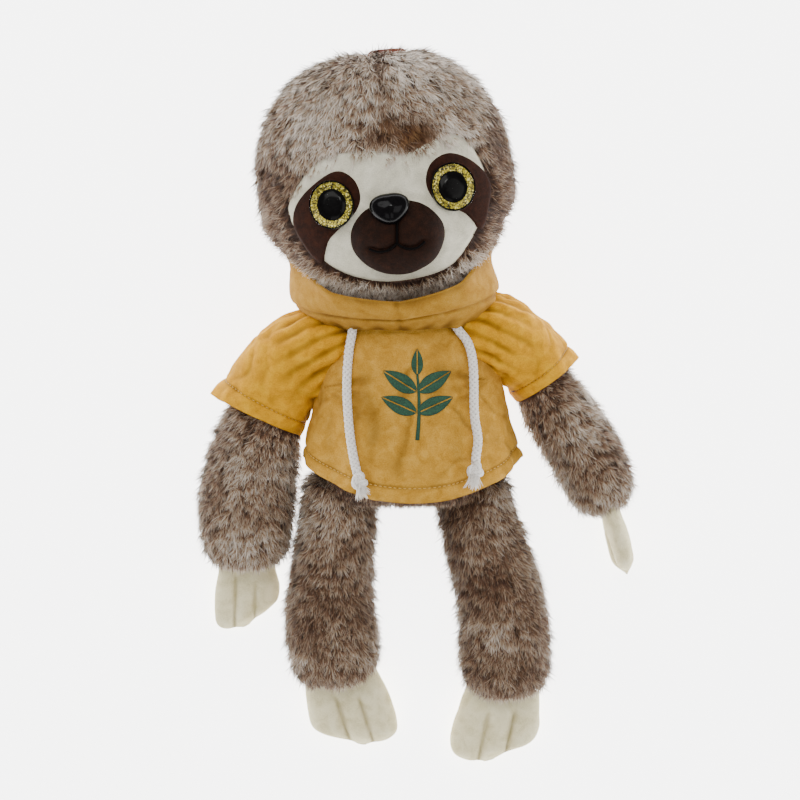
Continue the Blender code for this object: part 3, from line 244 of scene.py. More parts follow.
SLEEVE_PLACES = {
    "right": (
        (-0.0300, 0.0460, 0.0440, 0.0175, 0.0205), (-0.0470, 0.0395, 0.0430, 0.0232, 0.0248),
        (-0.0630, 0.0300, 0.0370, 0.0258, 0.0262), (-0.0745, 0.0165, 0.0310, 0.0262, 0.0270),
        (-0.0835, 0.0030, 0.0270, 0.0268, 0.0285),
    ),
    "left": (
        (0.0310, 0.0520, 0.0440, 0.0190, 0.0210), (0.0465, 0.0480, 0.0430, 0.0225, 0.0250),
        (0.0600, 0.0415, 0.0370, 0.0225, 0.0262), (0.0710, 0.0330, 0.0310, 0.0212, 0.0270),
        (0.0800, 0.0230, 0.0270, 0.0208, 0.0285),
    ),
}
COLLAR_THICKNESS = 0.0030
COLLAR_INNER_GAP = 0.0004
COLLAR_TOP = (
    (0.0480, 0.0950, 0.0560), (-0.0030, 0.0625, 0.0960),
    (-0.0660, 0.0870, 0.0560), (-0.0080, 0.0980, 0.0060),
)
COLLAR_LOW = (
    (0.0405, 0.0570, 0.0420), (-0.0010, 0.0500, 0.0770),
    (-0.0460, 0.0550, 0.0420), (-0.0020, 0.0530, 0.0060),
)
COLLAR_BELLY_SHARE = 0.10

# Print on the chest, a sprig of leaves: (x, y, angle, length) in shares of its half sizes
PRINT_PLACE = (0.0065, 0.0140)
PRINT_HALF_WIDTH = 0.0215
PRINT_HALF_HEIGHT = 0.0245
LEAF_PLACES_SHARES = (
    (0.0, 0.42, 90, 0.58), (0.02, 0.06, 32, 0.86), (-0.02, 0.06, 148, 0.86),
    (0.02, -0.40, 24, 0.84), (-0.02, -0.40, 156, 0.84),
)
LEAF_FAT_SHARE = 0.36
PRINT_LIFT = 0.00025

# Fur: strands stand on a backing sunk under the solids' surface
BACKING_DEPTH = 0.0036
LIMB_BACKING_DEPTH = 0.0020
STRANDS_PER_M2 = 3.4e6
TORSO_STRANDS_PER_M2 = 2.6e6
STRAND_WIDTH = 0.00046
HEAD_STRAND_LENGTH = 0.0108
LIMB_STRAND_LENGTH = 0.0100
TORSO_STRAND_LENGTH = 0.0060
# Painted shade: the arms' and legs' fur is drawn darker than the head's by these amounts
LIMB_PAINTED_SHADE = {"arm": -0.17, "leg": -0.26}
# Painted shade: the torso's fur, seen under the top's hem, is drawn darker by this amount
TORSO_PAINTED_SHADE = -0.36
CLUMP_WIDTH = 0.0034
FLOOR_CLEARANCE = 0.0004

HEAD = Matrix.Translation(HEAD_PLACE) @ Euler([math.radians(a) for a in HEAD_TURN_DEG]).to_matrix().to_4x4()


# Small tools
def shade(code):
    """An sRGB hex colour as a linear one."""
    channels = [int(code[i : i + 2], 16) / 255 for i in (0, 2, 4)]
    return tuple(c / 12.92 if c <= 0.04045 else ((c + 0.055) / 1.055) ** 2.4 for c in channels) + (1.0,)


def add(tree, kind, inputs=None, **settings):
    """Adds a node, sets its properties, and gives its inputs their values or links."""
    made = tree.nodes.new(kind)
    for name, value in settings.items():
        setattr(made, name, value)
    for key, value in (inputs or {}).items():
        if isinstance(value, bpy.types.NodeSocket):
            tree.links.new(value, made.inputs[key])
        else:
            made.inputs[key].default_value = value
    return made


def in_scene(name, data):
    """A new object in the scene."""
    made = bpy.data.objects.new(name, data)
    bpy.context.scene.collection.objects.link(made)
    return made


def smooth_step(low, high, value):
    share = np.clip((np.asarray(value, float) - low) / (high - low), 0.0, 1.0)
    return share * share * (3 - 2 * share)


def bell(value, middle, width):
    """1 at the middle, falling off smoothly over the width on both sides."""
    return np.exp(-(((value - middle) / width) ** 2))


def turns_round(count):
    """Evenly spaced angles of one full turn."""
    return np.linspace(0, 2 * np.pi, count, endpoint=False)


def even(radius):
    """The same radius all along a tube."""
    return lambda share, angles: np.full(len(angles), radius)


def above_floor(places):
    places[..., 2] = np.maximum(places[..., 2], FLOOR_CLEARANCE)
    return places


def in_head(places):
    """Places as seen in the head's own frame."""
    back = np.array(HEAD.inverted())
    return places @ back[:3, :3].T + back[:3, 3]


def curve_through(points, count, closed=False):
    """Evenly spaced places on a smooth curve through the given ones."""
    points = np.array(points, float)
    knots = len(points)
    spans = knots if closed else knots - 1
    fine = []
    for i in range(spans):
        if closed:
            a, b, c, d = (points[(i + k) % knots] for k in (-1, 0, 1, 2))
        else:
            a, b, c, d = (points[min(max(i + k, 0), knots - 1)] for k in (-1, 0, 1, 2))
        t = np.linspace(0, 1, 24, endpoint=False)[:, None]
        fine.append(
            0.5 * (2 * b + (c - a) * t + (2 * a - 5 * b + 4 * c - d) * t**2
                   + (3 * b - a - 3 * c + d) * t**3)
        )
    fine.append(points[:1] if closed else points[-1:])
    fine = np.concatenate(fine)
    steps = np.linalg.norm(np.diff(fine, axis=0), axis=1)
    run = np.concatenate(([0.0], np.cumsum(steps)))
    wanted = np.linspace(0, run[-1], count, endpoint=not closed)
    return np.stack([np.interp(wanted, run, fine[:, k]) for k in range(fine.shape[1])], 1)


def path_length(points):
    return float(np.linalg.norm(np.diff(np.array(points), axis=0), axis=1).sum())


def unit(vectors):
    size = np.linalg.norm(vectors, axis=-1, keepdims=True)
    return vectors / np.maximum(size, 1e-12)


def noise_at(points, size, seed=0.0):
    """Smooth noise from -1 to 1, one value a place, with swells of the given size."""
    flat = np.asarray(points, float).reshape(-1, 3) / size
    values = [noise.noise(Vector((p[0] + seed, p[1] - seed, p[2] + 2 * seed))) for p in flat]
    return np.array(values).reshape(np.asarray(points).shape[:-1])


def ring_ways(rows):
    """The outward way at each place of a tube given as rings of places."""
    along = np.gradient(rows, axis=0)
    around = np.roll(rows, -1, axis=1) - np.roll(rows, 1, axis=1)
    ways = unit(np.cross(around, along))
    outward = rows - rows.mean(axis=1, keepdims=True)
    if (ways * outward).sum() < 0:
        ways = -ways
    return ways


def set_layer(mesh, name, values):
    """Keeps a number or a vector for each place of a mesh, in place of what was kept before."""
    values = np.asarray(values, np.float32)
    if name in mesh.attributes:
        mesh.attributes.remove(mesh.attributes[name])
    kind, field = ("FLOAT_VECTOR", "vector") if values.ndim == 2 else ("FLOAT", "value")
    mesh.attributes.new(name, kind, "POINT").data.foreach_set(field, values.ravel())


def grid_faces(rows, columns, closed=False):
    """The quads of a grid of places, closed across its columns where asked."""
    return [
        (r * columns + c, r * columns + (c + 1) % columns,
         (r + 1) * columns + (c + 1) % columns, (r + 1) * columns + c)
        for r in range(rows - 1) for c in range(columns if closed else columns - 1)
    ]


def piece(name, places, faces, finish, layers=None):
    """A shaded object from places and faces, with vertex values kept as attributes."""
    mesh = bpy.data.meshes.new(name)
    mesh.from_pydata([tuple(map(float, p)) for p in places], [], faces)
    for layer, values in (layers or {}).items():
        set_layer(mesh, layer, values)
    turned = bmesh.new()
    turned.from_mesh(mesh)
    bmesh.ops.recalc_face_normals(turned, faces=turned.faces)
    turned.to_mesh(mesh)
    turned.free()
    mesh.shade_smooth()
    mesh.materials.append(finish)
    return in_scene(name, mesh)


def tube(name, rows, finish, ends=(False, False), layers=None):
    """A tube from rings of places; an end is closed on its middle where asked."""
    rows = np.asarray(rows, float)
    count, around = rows.shape[:2]
    places = list(rows.reshape(-1, 3))
    faces = grid_faces(count, around, closed=True)
    layers = {k: list(np.asarray(v).ravel()) for k, v in (layers or {}).items()}
    for row, wanted in ((0, ends[0]), (count - 1, ends[1])):
        if wanted:
            middle = len(places)
            places.append(rows[row].mean(axis=0))
            for values in layers.values():
                values.append(float(np.mean(values[row * around : (row + 1) * around])))
            for c in range(around):
                faces.append((row * around + c, row * around + (c + 1) % around, middle))
    return piece(name, places, faces, finish, layers)


def welded(made):
    """Joins the doubled places of a mesh, and turns its faces outwards."""
    joint = bmesh.new()
    joint.from_mesh(made.data)
    bmesh.ops.remove_doubles(joint, verts=joint.verts, dist=1e-6)
    bmesh.ops.recalc_face_normals(joint, faces=joint.faces)
    joint.to_mesh(made.data)
    joint.free()


def joined(name, parts):
    """Several pieces of one finish as one."""
    made = bmesh.new()
    for part in parts:
        made.from_mesh(part.data)
    mesh = bpy.data.meshes.new(name)
    made.to_mesh(mesh)
    made.free()
    mesh.materials.append(parts[0].data.materials[0])
    mesh.shade_smooth()
    for part in parts:
        bpy.data.objects.remove(part)
    return in_scene(name, mesh)


def worked_out(made):
    """The plain mesh that an object's modifiers give."""
    bpy.context.view_layer.update()
    graph = bpy.context.evaluated_depsgraph_get()
    return bpy.data.meshes.new_from_object(
        made.evaluated_get(graph), preserve_all_data_layers=True, depsgraph=graph
    )


def settled(made):
    """An object with its modifiers worked out into its mesh; it keeps none."""
    mesh = worked_out(made)
    made.modifiers.clear()
    made.data = mesh
    mesh.name = made.name
    return made


def walled(made, thickness, offset):
    """A sheet given a thickness, as a plain mesh."""
    wall = made.modifiers.new("wall", "SOLIDIFY")
    wall.thickness = thickness
    wall.offset = offset
    return settled(made)


def tree_of(made):
    """What a ray is cast on: a piece's surface, in the row frame."""
    bpy.context.view_layer.update()
    return BVHTree.FromObject(made, bpy.context.evaluated_depsgraph_get())


def sides_along(path):
    """Two ways square to a path at each of its places, with no twist between them."""
    ways = unit(np.gradient(path, axis=0))
    side = unit(np.cross(ways[0], (0.3, 0.2, 1.0)))
    sides = []
    for way in ways:
        side = unit(side - way * np.dot(side, way))
        sides.append((side, np.cross(way, side)))
    return np.array(sides).transpose(1, 0, 2)


def rings_along(path, radius_at, around):
    """Rings of places round a path; radius_at gives the radius at each share and angle."""
    path = np.asarray(path, float)
    angles = turns_round(around)
    rows = []
    for i, (place, side, other) in enumerate(zip(path, *sides_along(path))):
        radius = radius_at(i / (len(path) - 1), angles)
        across, up = np.cos(angles) * radius, np.sin(angles) * radius
        rows.append(place + across[:, None] * side + up[:, None] * other)
    return np.array(rows)


# Finishes
def new_finish(name, code, roughness):
    """A material with its Principled shader, and the colours' coordinates."""
    made = bpy.data.materials.new(name)
    made.use_nodes = True
    shader = made.node_tree.nodes["Principled BSDF"]
    shader.inputs["Base Color"].default_value = shade(code)
    shader.inputs["Roughness"].default_value = roughness
    place = add(made.node_tree, "ShaderNodeTexCoord").outputs["Object"]
    return made, made.node_tree, shader, place


def kept_value(tree, name, output="Fac"):
    """What a piece keeps for each of its places."""
    return add(tree, "ShaderNodeAttribute", attribute_name=name).outputs[output]


def grain_of(tree, place, size_mm, detail, **settings):
    """Noise with swells of the given size."""
    inputs = {"Vector": place, "Scale": 1 / (size_mm * MILLI), "Detail": detail, **settings}
    return add(tree, "ShaderNodeTexNoise", inputs).outputs[0]


def ramp_on(tree, value, *stops):
    """A colour ramp on a value; each stop is its place and its colour."""
    made = add(tree, "ShaderNodeValToRGB", {0: value})
    ends = made.color_ramp.elements
    for end, (place, code) in zip(ends, (stops[0], stops[-1])):
        end.position, end.color = place, shade(code)
    for place, code in stops[1:-1]:
        ends.new(place).color = shade(code)
    return made.outputs[0]


def give(tree, shader, **sockets):
    """Links sockets to the shader's inputs; an input's name is written with _ for a space."""
    for name, socket in sockets.items():
        tree.links.new(socket, shader.inputs[name.replace("_", " ")])


def set_values(shader, **values):
    """Sets values of the shader's inputs; an input's name is written with _ for a space."""
    for name, value in values.items():
        shader.inputs[name.replace("_", " ")].default_value = value


def ranged(tree, value, low, high):
    """A value from 0 to 1 drawn into another range."""
    return add(tree, "ShaderNodeMapRange", {0: value, 3: low, 4: high}).outputs[0]


def relief(tree, height, distance_mm, strength=0.5):
    """Fine relief, too small for the mesh, that follows a height."""
    inputs = {"Strength": strength, "Distance": distance_mm * MILLI, "Height": height}
    return add(tree, "ShaderNodeBump", inputs).outputs[0]


def velour(name, light, middle, dark, pile_mm, nap_mm, sheen, painted_crease_shade=None):
    """Knitted velour, cropped pile: its pale and darker nap patches are painted sheen over the pile's fine
    grain.
    """
    made, tree, shader, place = new_finish(name, middle, 0.88)
    nap = grain_of(tree, place, nap_mm, 3.0, Distortion=0.6)
    pile = grain_of(tree, place, pile_mm, 2.0, Roughness=0.7)
    both = add(tree, "ShaderNodeMath", {0: nap, 1: pile}, operation="ADD")
    share = add(tree, "ShaderNodeMath", {0: both.outputs[0], 1: 0.5}, operation="MULTIPLY")
    # Painted sheen: the nap's pale and dark patches, laid in as colour
    colour = ramp_on(tree, share.outputs[0], (0.32, dark), (0.50, middle), (0.68, light))
    # Painted shade: a darker crease colour is mixed in where the piece keeps a fold value
    if painted_crease_shade:
        inputs = {0: kept_value(tree, "fold"), 6: colour, 7: shade(painted_crease_shade)}
        colour = add(tree, "ShaderNodeMix", inputs, data_type="RGBA").outputs[2]
    give(tree, shader, Base_Color=colour, Normal=relief(tree, pile, pile_mm))
    set_values(
        shader, Sheen_Weight=sheen, Sheen_Roughness=0.45, Sheen_Tint=shade(light), Specular_IOR_Level=0.15
    )
    return made


def frosted_fur():
    """Tip-dyed plush pile: brown at the root, frosted grey-cream at the tip."""
    made, tree, shader, _ = new_finish("tip_dyed_plush_pile", "8d7c6d", 0.75)
    inputs = {0: kept_value(tree, "along"), 1: kept_value(tree, "tone")}
    share = add(tree, "ShaderNodeMath", inputs, operation="ADD").outputs[0]
    frosted = ramp_on(
        tree, share,
        (0.05, "3a2418"), (0.32, "6a4a32"), (0.55, "a68e74"), (0.78, "d6c9ba"), (1.0, "efe5d8"),
    )
    undyed = ramp_on(tree, share, (0.05, "2c170a"), (0.60, "573516"), (1.0, "8e6a42"))
    inputs = {0: kept_value(tree, "brown"), 6: frosted, 7: undyed}
    colour = add(tree, "ShaderNodeMix", inputs, data_type="RGBA").outputs[2]
    turned = add(
        tree, "ShaderNodeVectorTransform", {0: kept_value(tree, "skin_way", "Vector")},
        vector_type="NORMAL", convert_from="OBJECT", convert_to="WORLD",
    ).outputs[0]
    own = add(tree, "ShaderNodeNewGeometry").outputs["Normal"]
    soft = add(tree, "ShaderNodeMix", {0: 0.45, 4: turned, 5: own}, data_type="VECTOR").outputs[1]
    way = add(tree, "ShaderNodeVectorMath", {0: soft}, operation="NORMALIZE").outputs[0]
    give(tree, shader, Base_Color=colour, Normal=way)
    set_values(shader, Specular_IOR_Level=0.25, Sheen_Weight=0.25, Sheen_Roughness=0.5)
    return made


def two_tone(name, dark, light, size_mm, roughness, bump_mm):
    """A finish whose colour and relief both follow one fine grain."""
    made, tree, shader, place = new_finish(name, dark, roughness)
    grain = grain_of(tree, place, size_mm, 3.0)
    colour = ramp_on(tree, grain, (0.3, dark), (0.7, light))
    give(tree, shader, Base_Color=colour, Normal=relief(tree, grain, bump_mm))
    return made, tree, shader, grain


def fur_backing():
    """Knitted backing under the pile, dark brown, seen only where the fur parts."""
    return two_tone("knitted_fur_backing", "2e1f16", "6a5142", 1.2, 0.95, 0.3)[0]


def braided_cotton():
    """Braided cotton: matt, off-white, with painted shade down between the strands, with fine fuzz."""
    made, tree, shader, _ = two_tone("braided_cotton", "d9d3ca", "f6f2ec", 0.35, 0.9, 0.2)
    # Painted shade: darker where a strand lies low, near the core
    down = ramp_on(tree, kept_value(tree, "height"), (0.0, "8f857a"), (0.7, "ffffff"))
    lit = shader.inputs["Base Color"].links[0].from_socket
    both = add(
        tree, "ShaderNodeMix", {0: 1.0, 6: lit, 7: down}, data_type="RGBA", blend_type="MULTIPLY"
    )
    give(tree, shader, Base_Color=both.outputs[2])
    set_values(shader, Specular_IOR_Level=0.2)
    return made


def moulded_black():
    """Black moulded plastic of noses and pupils: glossy, with a trace of orange peel."""
    made, tree, shader, peel = two_tone("moulded_black_plastic", "030203", "080708", 1.4, 0.2, 0.01)
    give(tree, shader, Roughness=ranged(tree, peel, 0.10, 0.22))
    set_values(shader, Specular_IOR_Level=0.09)
    return made


def gold_glitter():
    """Glitter film under the dome: flakes of gold and olive, each facing its own way; each flake's
    brightness, from near black to pale, is painted glint and shade.
    """
    made, tree, shader, place = new_finish("gold_glitter_film", "b5a93c", 0.35)
    flakes = add(tree, "ShaderNodeTexVoronoi", {"Vector": place, "Scale": 1 / (0.6 * MILLI)})
    flake = flakes.outputs["Color"]
    # Painted glints and shade: each flake gets its own brightness, near black to pale yellow
    colour = ramp_on(tree, flake, (0.30, "2a2508"), (0.50, "857716"), (0.72, "cdbc38"), (0.90, "fff4a0"))
    rough, normal = ranged(tree, flake, 0.25, 0.55), relief(tree, flake, 0.25, 0.8)
    give(tree, shader, Base_Color=colour, Roughness=rough, Normal=normal)
    set_values(shader, Metallic=0.35)
    return made


def clear_dome():
    """Clear cast acrylic: only its gloss shows, and light goes through to the glitter."""
    made, tree, shader, place = new_finish("clear_acrylic", "000000", 0.04)
    set_values(shader, IOR=1.49)
    through = add(tree, "ShaderNodeBsdfTransparent", {"Color": shade("fbfbf8")})
    give(tree, shader, Roughness=ranged(tree, grain_of(tree, place, 3, 4.0), 0.02, 0.09))
    gloss = add(tree, "ShaderNodeFresnel", {"IOR": 1.12})
    mixed = add(
        tree, "ShaderNodeMixShader", {0: gloss.outputs[0], 1: through.outputs[0], 2: shader.outputs[0]}
    )
    tree.links.new(mixed.outputs[0], tree.nodes["Material Output"].inputs["Surface"])
    return made


def woven_ribbon():
    """Brown woven ribbon: fine ribs across it, a little painted shine on the rib tops and painted shade
    between them.
    """
    made, tree, shader, place = new_finish("woven_ribbon", "5a2a1c", 0.85)
    ribs = add(
        tree, "ShaderNodeTexWave", {"Vector": place, "Scale": 0.314 / (0.8 * MILLI), "Distortion": 0.4},
        bands_direction="X",
    ).outputs["Fac"]
    # Painted highlight on the rib tops, painted shade in the grooves between them
    colour = ramp_on(tree, ribs, (0.0, "3d1a10"), (1.0, "74402c"))
    give(tree, shader, Base_Color=colour, Normal=relief(tree, ribs, 0.15))
    set_values(shader, Specular_IOR_Level=0.10)
    return made


FUR = frosted_fur()
BACKING = fur_backing()
# Each velour's pale and dark colours carry painted nap sheen; the last colour, where given, is painted
# shade in creases
FACE_VELOUR = velour("cream_face_velour", "e2ddc9", "c9c4af", "a8a38d", 0.5, 9.0, 0.25)
DARK_VELOUR = velour("dark_brown_velour", "37190a", "271006", "190903", 0.5, 4.0, 0.10)
MUZZLE_VELOUR = velour("deep_brown_velour", "2b1408", "1d0c04", "120702", 0.5, 4.0, 0.06)
CLAW_VELOUR = velour("pale_claw_velour", "f6edca", "e6dcb2", "c9bd8d", 0.5, 7.0, 0.30, "8f7f52")
TOP_VELOUR = velour("golden_velour", "cfa146", "ba892f", "9e6f1c", 0.6, 6.0, 0.18, "5a3a08")
SLEEVE_VELOUR = velour("deep_golden_velour", "dfa920", "c98f12", "a9740a", 0.6, 6.0, 0.16, "634004")
COTTON = braided_cotton()
BLACK_PLASTIC = moulded_black()
GLITTER = gold_glitter()
ACRYLIC = clear_dome()
# Cotton thread, tightly twisted: a dull black line with a fine ply
MOUTH_THREAD, _, thread_shader, _ = two_tone("black_embroidery_thread", "020101", "0a0605", 0.4, 0.95, 0.1)
set_values(thread_shader, Specular_IOR_Level=0.10)
HEM_THREAD = two_tone("golden_hem_thread", "b98a35", "dcb45c", 0.4, 0.55, 0.1)[0]
RIBBON = woven_ribbon()
# Ink screened on pile: matt green that breaks up a little over the nap
INK = two_tone("screen_print_ink", "0b2a1b", "1f5038", 0.7, 0.8, 0.2)[0]


# Camera, stage and light
def make_camera():
    data = bpy.data.cameras.new("camera")
    data.lens = CAMERA_LENS_MM
    data.sensor_width = CAMERA_SENSOR_MM
    made = in_scene("camera", data)
    made.location = CAMERA_PLACE
    bpy.context.scene.camera = made


def make_stage():
    half = FLOOR_HALF_WIDTH
    paper, tree, shader, place = new_finish("pale_paper_backdrop", "f6f6f4", 0.95)
    grain = add(tree, "ShaderNodeTexNoise", {"Vector": place, "Scale": 12.0, "Detail": 2.0}).outputs[0]
    give(tree, shader, Base_Color=ramp_on(tree, grain, (0.0, "f3f2f0"), (1.0, "f8f8f6")))
    set_values(shader, Emission_Color=shade("ffffff"), Emission_Strength=FLOOR_GLOW)
    floor = piece(
        "floor", [(-half, -half, 0), (half, -half, 0), (half, half, 0), (-half, half, 0)],
        [(0, 1, 2, 3)], paper,
    )
    world = bpy.data.worlds.new("soft_room")
    world.use_nodes = True
    set_values(world.node_tree.nodes["Background"], Color=shade("ffffff"), Strength=WORLD_STRENGTH)
    bpy.context.scene.world = world
    for name, place, size, watts in LIGHTS:
        data = bpy.data.lights.new(name, "AREA")
        data.size = size
        data.energy = watts
        made = in_scene(name, data)
        made.location = place
        made.rotation_euler = Vector(place).to_track_quat("Z", "Y").to_euler()


# Drawstrings: eight strands, four each way, passing over and under by turns
def make_drawstring(side):
    given = np.array(CORD_ROUTES[side])
    length = path_length(curve_through(given, 200))
    path = curve_through(given, round(length / BRAID_STEP))
    turns = length / BRAID_PITCH
    across, other = sides_along(path)
    swing = 2 * np.pi * turns * np.linspace(0, 1, len(path))
    strands = []
    for k in range(BRAID_STRANDS):
        sense = 1 if k % 2 == 0 else -1
        angle = sense * swing + (k // 2) * np.pi / 2
        reach = BRAID_MIDDLE_RADIUS + sense * BRAID_WEAVE * np.cos(4 * swing)
        line = path + (np.cos(angle) * reach)[:, None] * across
        line = line + (np.sin(angle) * reach)[:, None] * other
        rows = rings_along(line, even(BRAID_STRAND_RADIUS), BRAID_STRAND_SIDES)
        # How far each place stands out from the core, for the painted shade between the strands
        out = np.linalg.norm(rows - path[:, None, :], axis=2)
        height = np.clip((out - BRAID_CORE_RADIUS) / (CORD_RADIUS - BRAID_CORE_RADIUS), 0, 1)
        strands.append(tube("strand", rows, COTTON, (True, True), {"height": height}))
    core = rings_along(path[::4], even(BRAID_CORE_RADIUS), 8)
    strands.append(tube("core", core, COTTON, (True, True), {"height": np.zeros(core.shape[:2])}))
    return joined("drawstring_braid_" + side, strands), path, length


def make_knot(side, path):
    """An overhand knot pulled tight, and the frayed ends under it."""
    way = Vector(unit(path[-1] - path[-8]))
    centre = Vector(path[-1]) + way * (KNOT_LENGTH / 2)
    turn = Vector((0, 0, 1)).rotation_difference(way).to_matrix()
    line = []
    for t in np.linspace(0, 2 * np.pi, 96):
        loop = Vector(
            ((math.sin(t) + 2 * math.sin(2 * t)) / 2.4, -0.75 * math.sin(3 * t),
             1.05 * (math.cos(t) - 2 * math.cos(2 * t)) / 2.4)
        )
        line.append(tuple(centre + turn @ (KNOT_LOOP_RADIUS * loop)))
    sides = 14
    rows = rings_along(line, lambda s, a: KNOT_TUBE_RADIUS * (1 + 0.07 * np.cos(5 * a + 90 * s)), sides)
    around = turns_round(sides)
    # Painted shade in the knot's grooves, by the same height
    height = np.array([0.65 + 0.35 * np.cos(5 * around + 90 * s) for s in np.linspace(0, 1, len(rows))])
    chosen = np.random.default_rng(11 if side == "left" else 12)
    parts = [tube("knot", rows, COTTON, (True, True), {"height": height})]
    end = centre + way * (KNOT_LENGTH * 0.32)
    for _ in range(TASSEL_THREADS):
        out = turn @ Vector((chosen.normal(0, 0.0011), chosen.normal(0, 0.0011), 0))
        spread = (turn @ Vector((chosen.normal(0, 0.25), chosen.normal(0, 0.25), 1.0))).normalized()
        long = TASSEL_LENGTH * chosen.uniform(0.55, 1.0)
        half_way = end + out + spread * long * 0.5 + TASSEL_FALL * 0.3
        line = curve_through([end + out, half_way, end + out * 1.4 + spread * long + TASSEL_FALL], 6)
        thread = rings_along(line, lambda s, a: np.full(len(a), TASSEL_THREAD_RADIUS * (1 - 0.5 * s)), 4)
        height = np.full(thread.shape[:2], 0.7)
        parts.append(tube("thread", thread, COTTON, (True, True), {"height": height}))
    return joined("drawstring_knot_" + side, parts)


# Stuffed forms
def form_ring(centre, side, front, sides):
    """A cage ring that subdivision draws in to the half sizes side and front."""
    swell = 1 / (2 / 3 + math.cos(2 * math.pi / sides) / 3)
    angles = turns_round(sides)
    return centre + swell * (np.cos(angles)[:, None] * side + np.sin(angles)[:, None] * front)


def smoothed_form(name, rings, finish):
    """The cage closed at both ends and subdivided, as a plain mesh."""
    rings = np.array(rings)
    count, sides = rings.shape[:2]
    faces = grid_faces(count, sides, closed=True)
    faces += [tuple(range(sides)), tuple(range((count - 1) * sides, count * sides))]
    made = piece(name, rings.reshape(-1, 3), faces, finish)
    step = made.modifiers.new("smooth", "SUBSURF")
    step.levels = step.render_levels = FORM_LEVELS
    return settled(made)


def vectors_of(rows, field):
    values = np.empty(len(rows) * 3, np.float32)
    rows.foreach_get(field, values)
    return values.reshape(-1, 3).astype(float)


def places_of(made):
    return vectors_of(made.data.vertices, "co")


def ways_of(made):
    return vectors_of(made.data.vertex_normals, "vector")


def put_places(made, places):
    made.data.vertices.foreach_set("co", np.asarray(places, np.float32).ravel())
    made.data.update()


def sink(made, depth):
    """Draws a form in by a depth, and keeps it flat on the floor where it rests."""
    put_places(made, above_floor(places_of(made) - ways_of(made) * depth))


def stacked_rings(heights, z, half_widths, half_depths, sides):
    """Cage rings one above the other along Y."""
    return [
        form_ring(np.array((0, y, z)), np.array((wide, 0, 0)), np.array((0, 0, deep)), sides)
        for y, wide, deep in zip(heights, half_widths, half_depths)
    ]


def head_rings():
    return stacked_rings(
        HEAD_HALF_HEIGHT * np.array(HEAD_LEVEL_SHARES), 0, HEAD_HALF_WIDTH * np.array(HEAD_WIDTH_SHARES),
        HEAD_HALF_DEPTH * np.array(HEAD_DEPTH_SHARES), HEAD_SIDES,
    )


def torso_rings():
    return stacked_rings(
        TORSO_SEAT_Y + np.array(TORSO_LENGTH_SHARES) * (TORSO_TOP_Y - TORSO_SEAT_Y), TORSO_MID_Z,
        TORSO_HALF_WIDTH * np.array(TORSO_WIDTH_SHARES), TORSO_HALF_DEPTH * np.array(TORSO_DEPTH_SHARES),
        LIMB_SIDES,
    )


def narrow_jaw(head):
    """Draws the head in at its lower sides, where the collar holds it."""
    places = places_of(head)
    x, y = in_head(places)[:, :2].T
    drawn = JAW_DRAW * smooth_step(-0.012, -0.036, y) * smooth_step(0.036, 0.056, np.abs(x))
    put_places(head, places - np.array(HEAD)[:3, 0] * (np.sign(x) * drawn)[:, None])


def limb_rings(places):
    places = np.array(places)
    centres = places[:, :3]
    rings = []
    for i, place in enumerate(places):
        along = unit(centres[min(i + 1, len(places) - 1)] - centres[max(i - 1, 0)])
        side = unit(np.cross(along, (0, 0, 1)))
        front = np.cross(side, along)
        rings.append(form_ring(centres[i], side * place[3], front * place[4], LIMB_SIDES))
    return rings


# Hooded top
def top_surface(down, turn):
    """Places on the top's body: down from neck to hem, turn round it from the left side."""
    front = np.sin(turn)
    low = np.where(front > 0, TOP_HEM_FRONT_Y, TOP_HEM_BACK_Y)
    hem_y = TOP_HEM_SIDE_Y + (low - TOP_HEM_SIDE_Y) * np.abs(front) ** 1.5
    y = TOP_NECK_Y + (hem_y - TOP_NECK_Y) * down
    chest = np.sin(np.minimum(down / TOP_CHEST_SHARE, 1.0) * np.pi / 2)
    flare = np.maximum(down - TOP_CHEST_SHARE, 0.0) / (1 - TOP_CHEST_SHARE)
    wide = TOP_NECK_HALF_WIDTH + (TOP_CHEST_HALF_WIDTH - TOP_NECK_HALF_WIDTH) * chest
    wide = wide + (TOP_HEM_HALF_WIDTH - TOP_CHEST_HALF_WIDTH) * flare
    deep = TOP_NECK_HALF_DEPTH + (TOP_CHEST_HALF_DEPTH - TOP_NECK_HALF_DEPTH) * chest
    deep = deep + (TOP_HEM_HALF_DEPTH - TOP_CHEST_HALF_DEPTH) * flare
    deep = np.where(front < 0, np.minimum(deep, TOP_BACK_HALF_DEPTH), deep)
    fold = TOP_FOLD_DEPTH * down**2 * (0.5 + 0.5 * np.cos(TOP_FOLDS * turn + 0.8))
    swell = CLOTH_THICKNESS + fold * smooth_step(-0.7, -0.5, front)
    x = TOP_HEM_X * down + (wide + swell) * np.cos(turn)
    z = TOP_MID_Z + (deep + swell) * front
    return np.stack([x, y, z], -1)


def crinkles(rows, stretch, size, seed):
    """Fine drag lines in cloth: 1 along the bottom of each, 0 between them."""
    return bell(noise_at(rows * stretch, size, seed), 0, 0.10)


def cloth_piece(name, rows, raises, seam, finish):
    """Cloth moved along its own ways by raises, with a wall, and with painted shade down in its folds and
    along its seam.
    """
    moved = rows + ring_ways(rows) * raises[..., None]
    # Painted shade: darker where the cloth dips below its neighbours, where it is pushed in, and along the
    # seam
    near = sum(np.roll(raises, k, axis=1) for k in (-4, -2, 2, 4)) / 4
    fold = np.clip((near - raises) / 0.0010, 0, 1) * 0.55 + np.clip(-raises / 0.0022, 0, 1) * 0.35
    fold = np.clip(np.clip(fold, 0, 1) + 0.5 * seam, 0, 1)
    moved = above_floor(moved)
    made = tube(name, moved, finish, layers={"fold": fold})
    return walled(made, CLOTH_THICKNESS, -1.0), moved


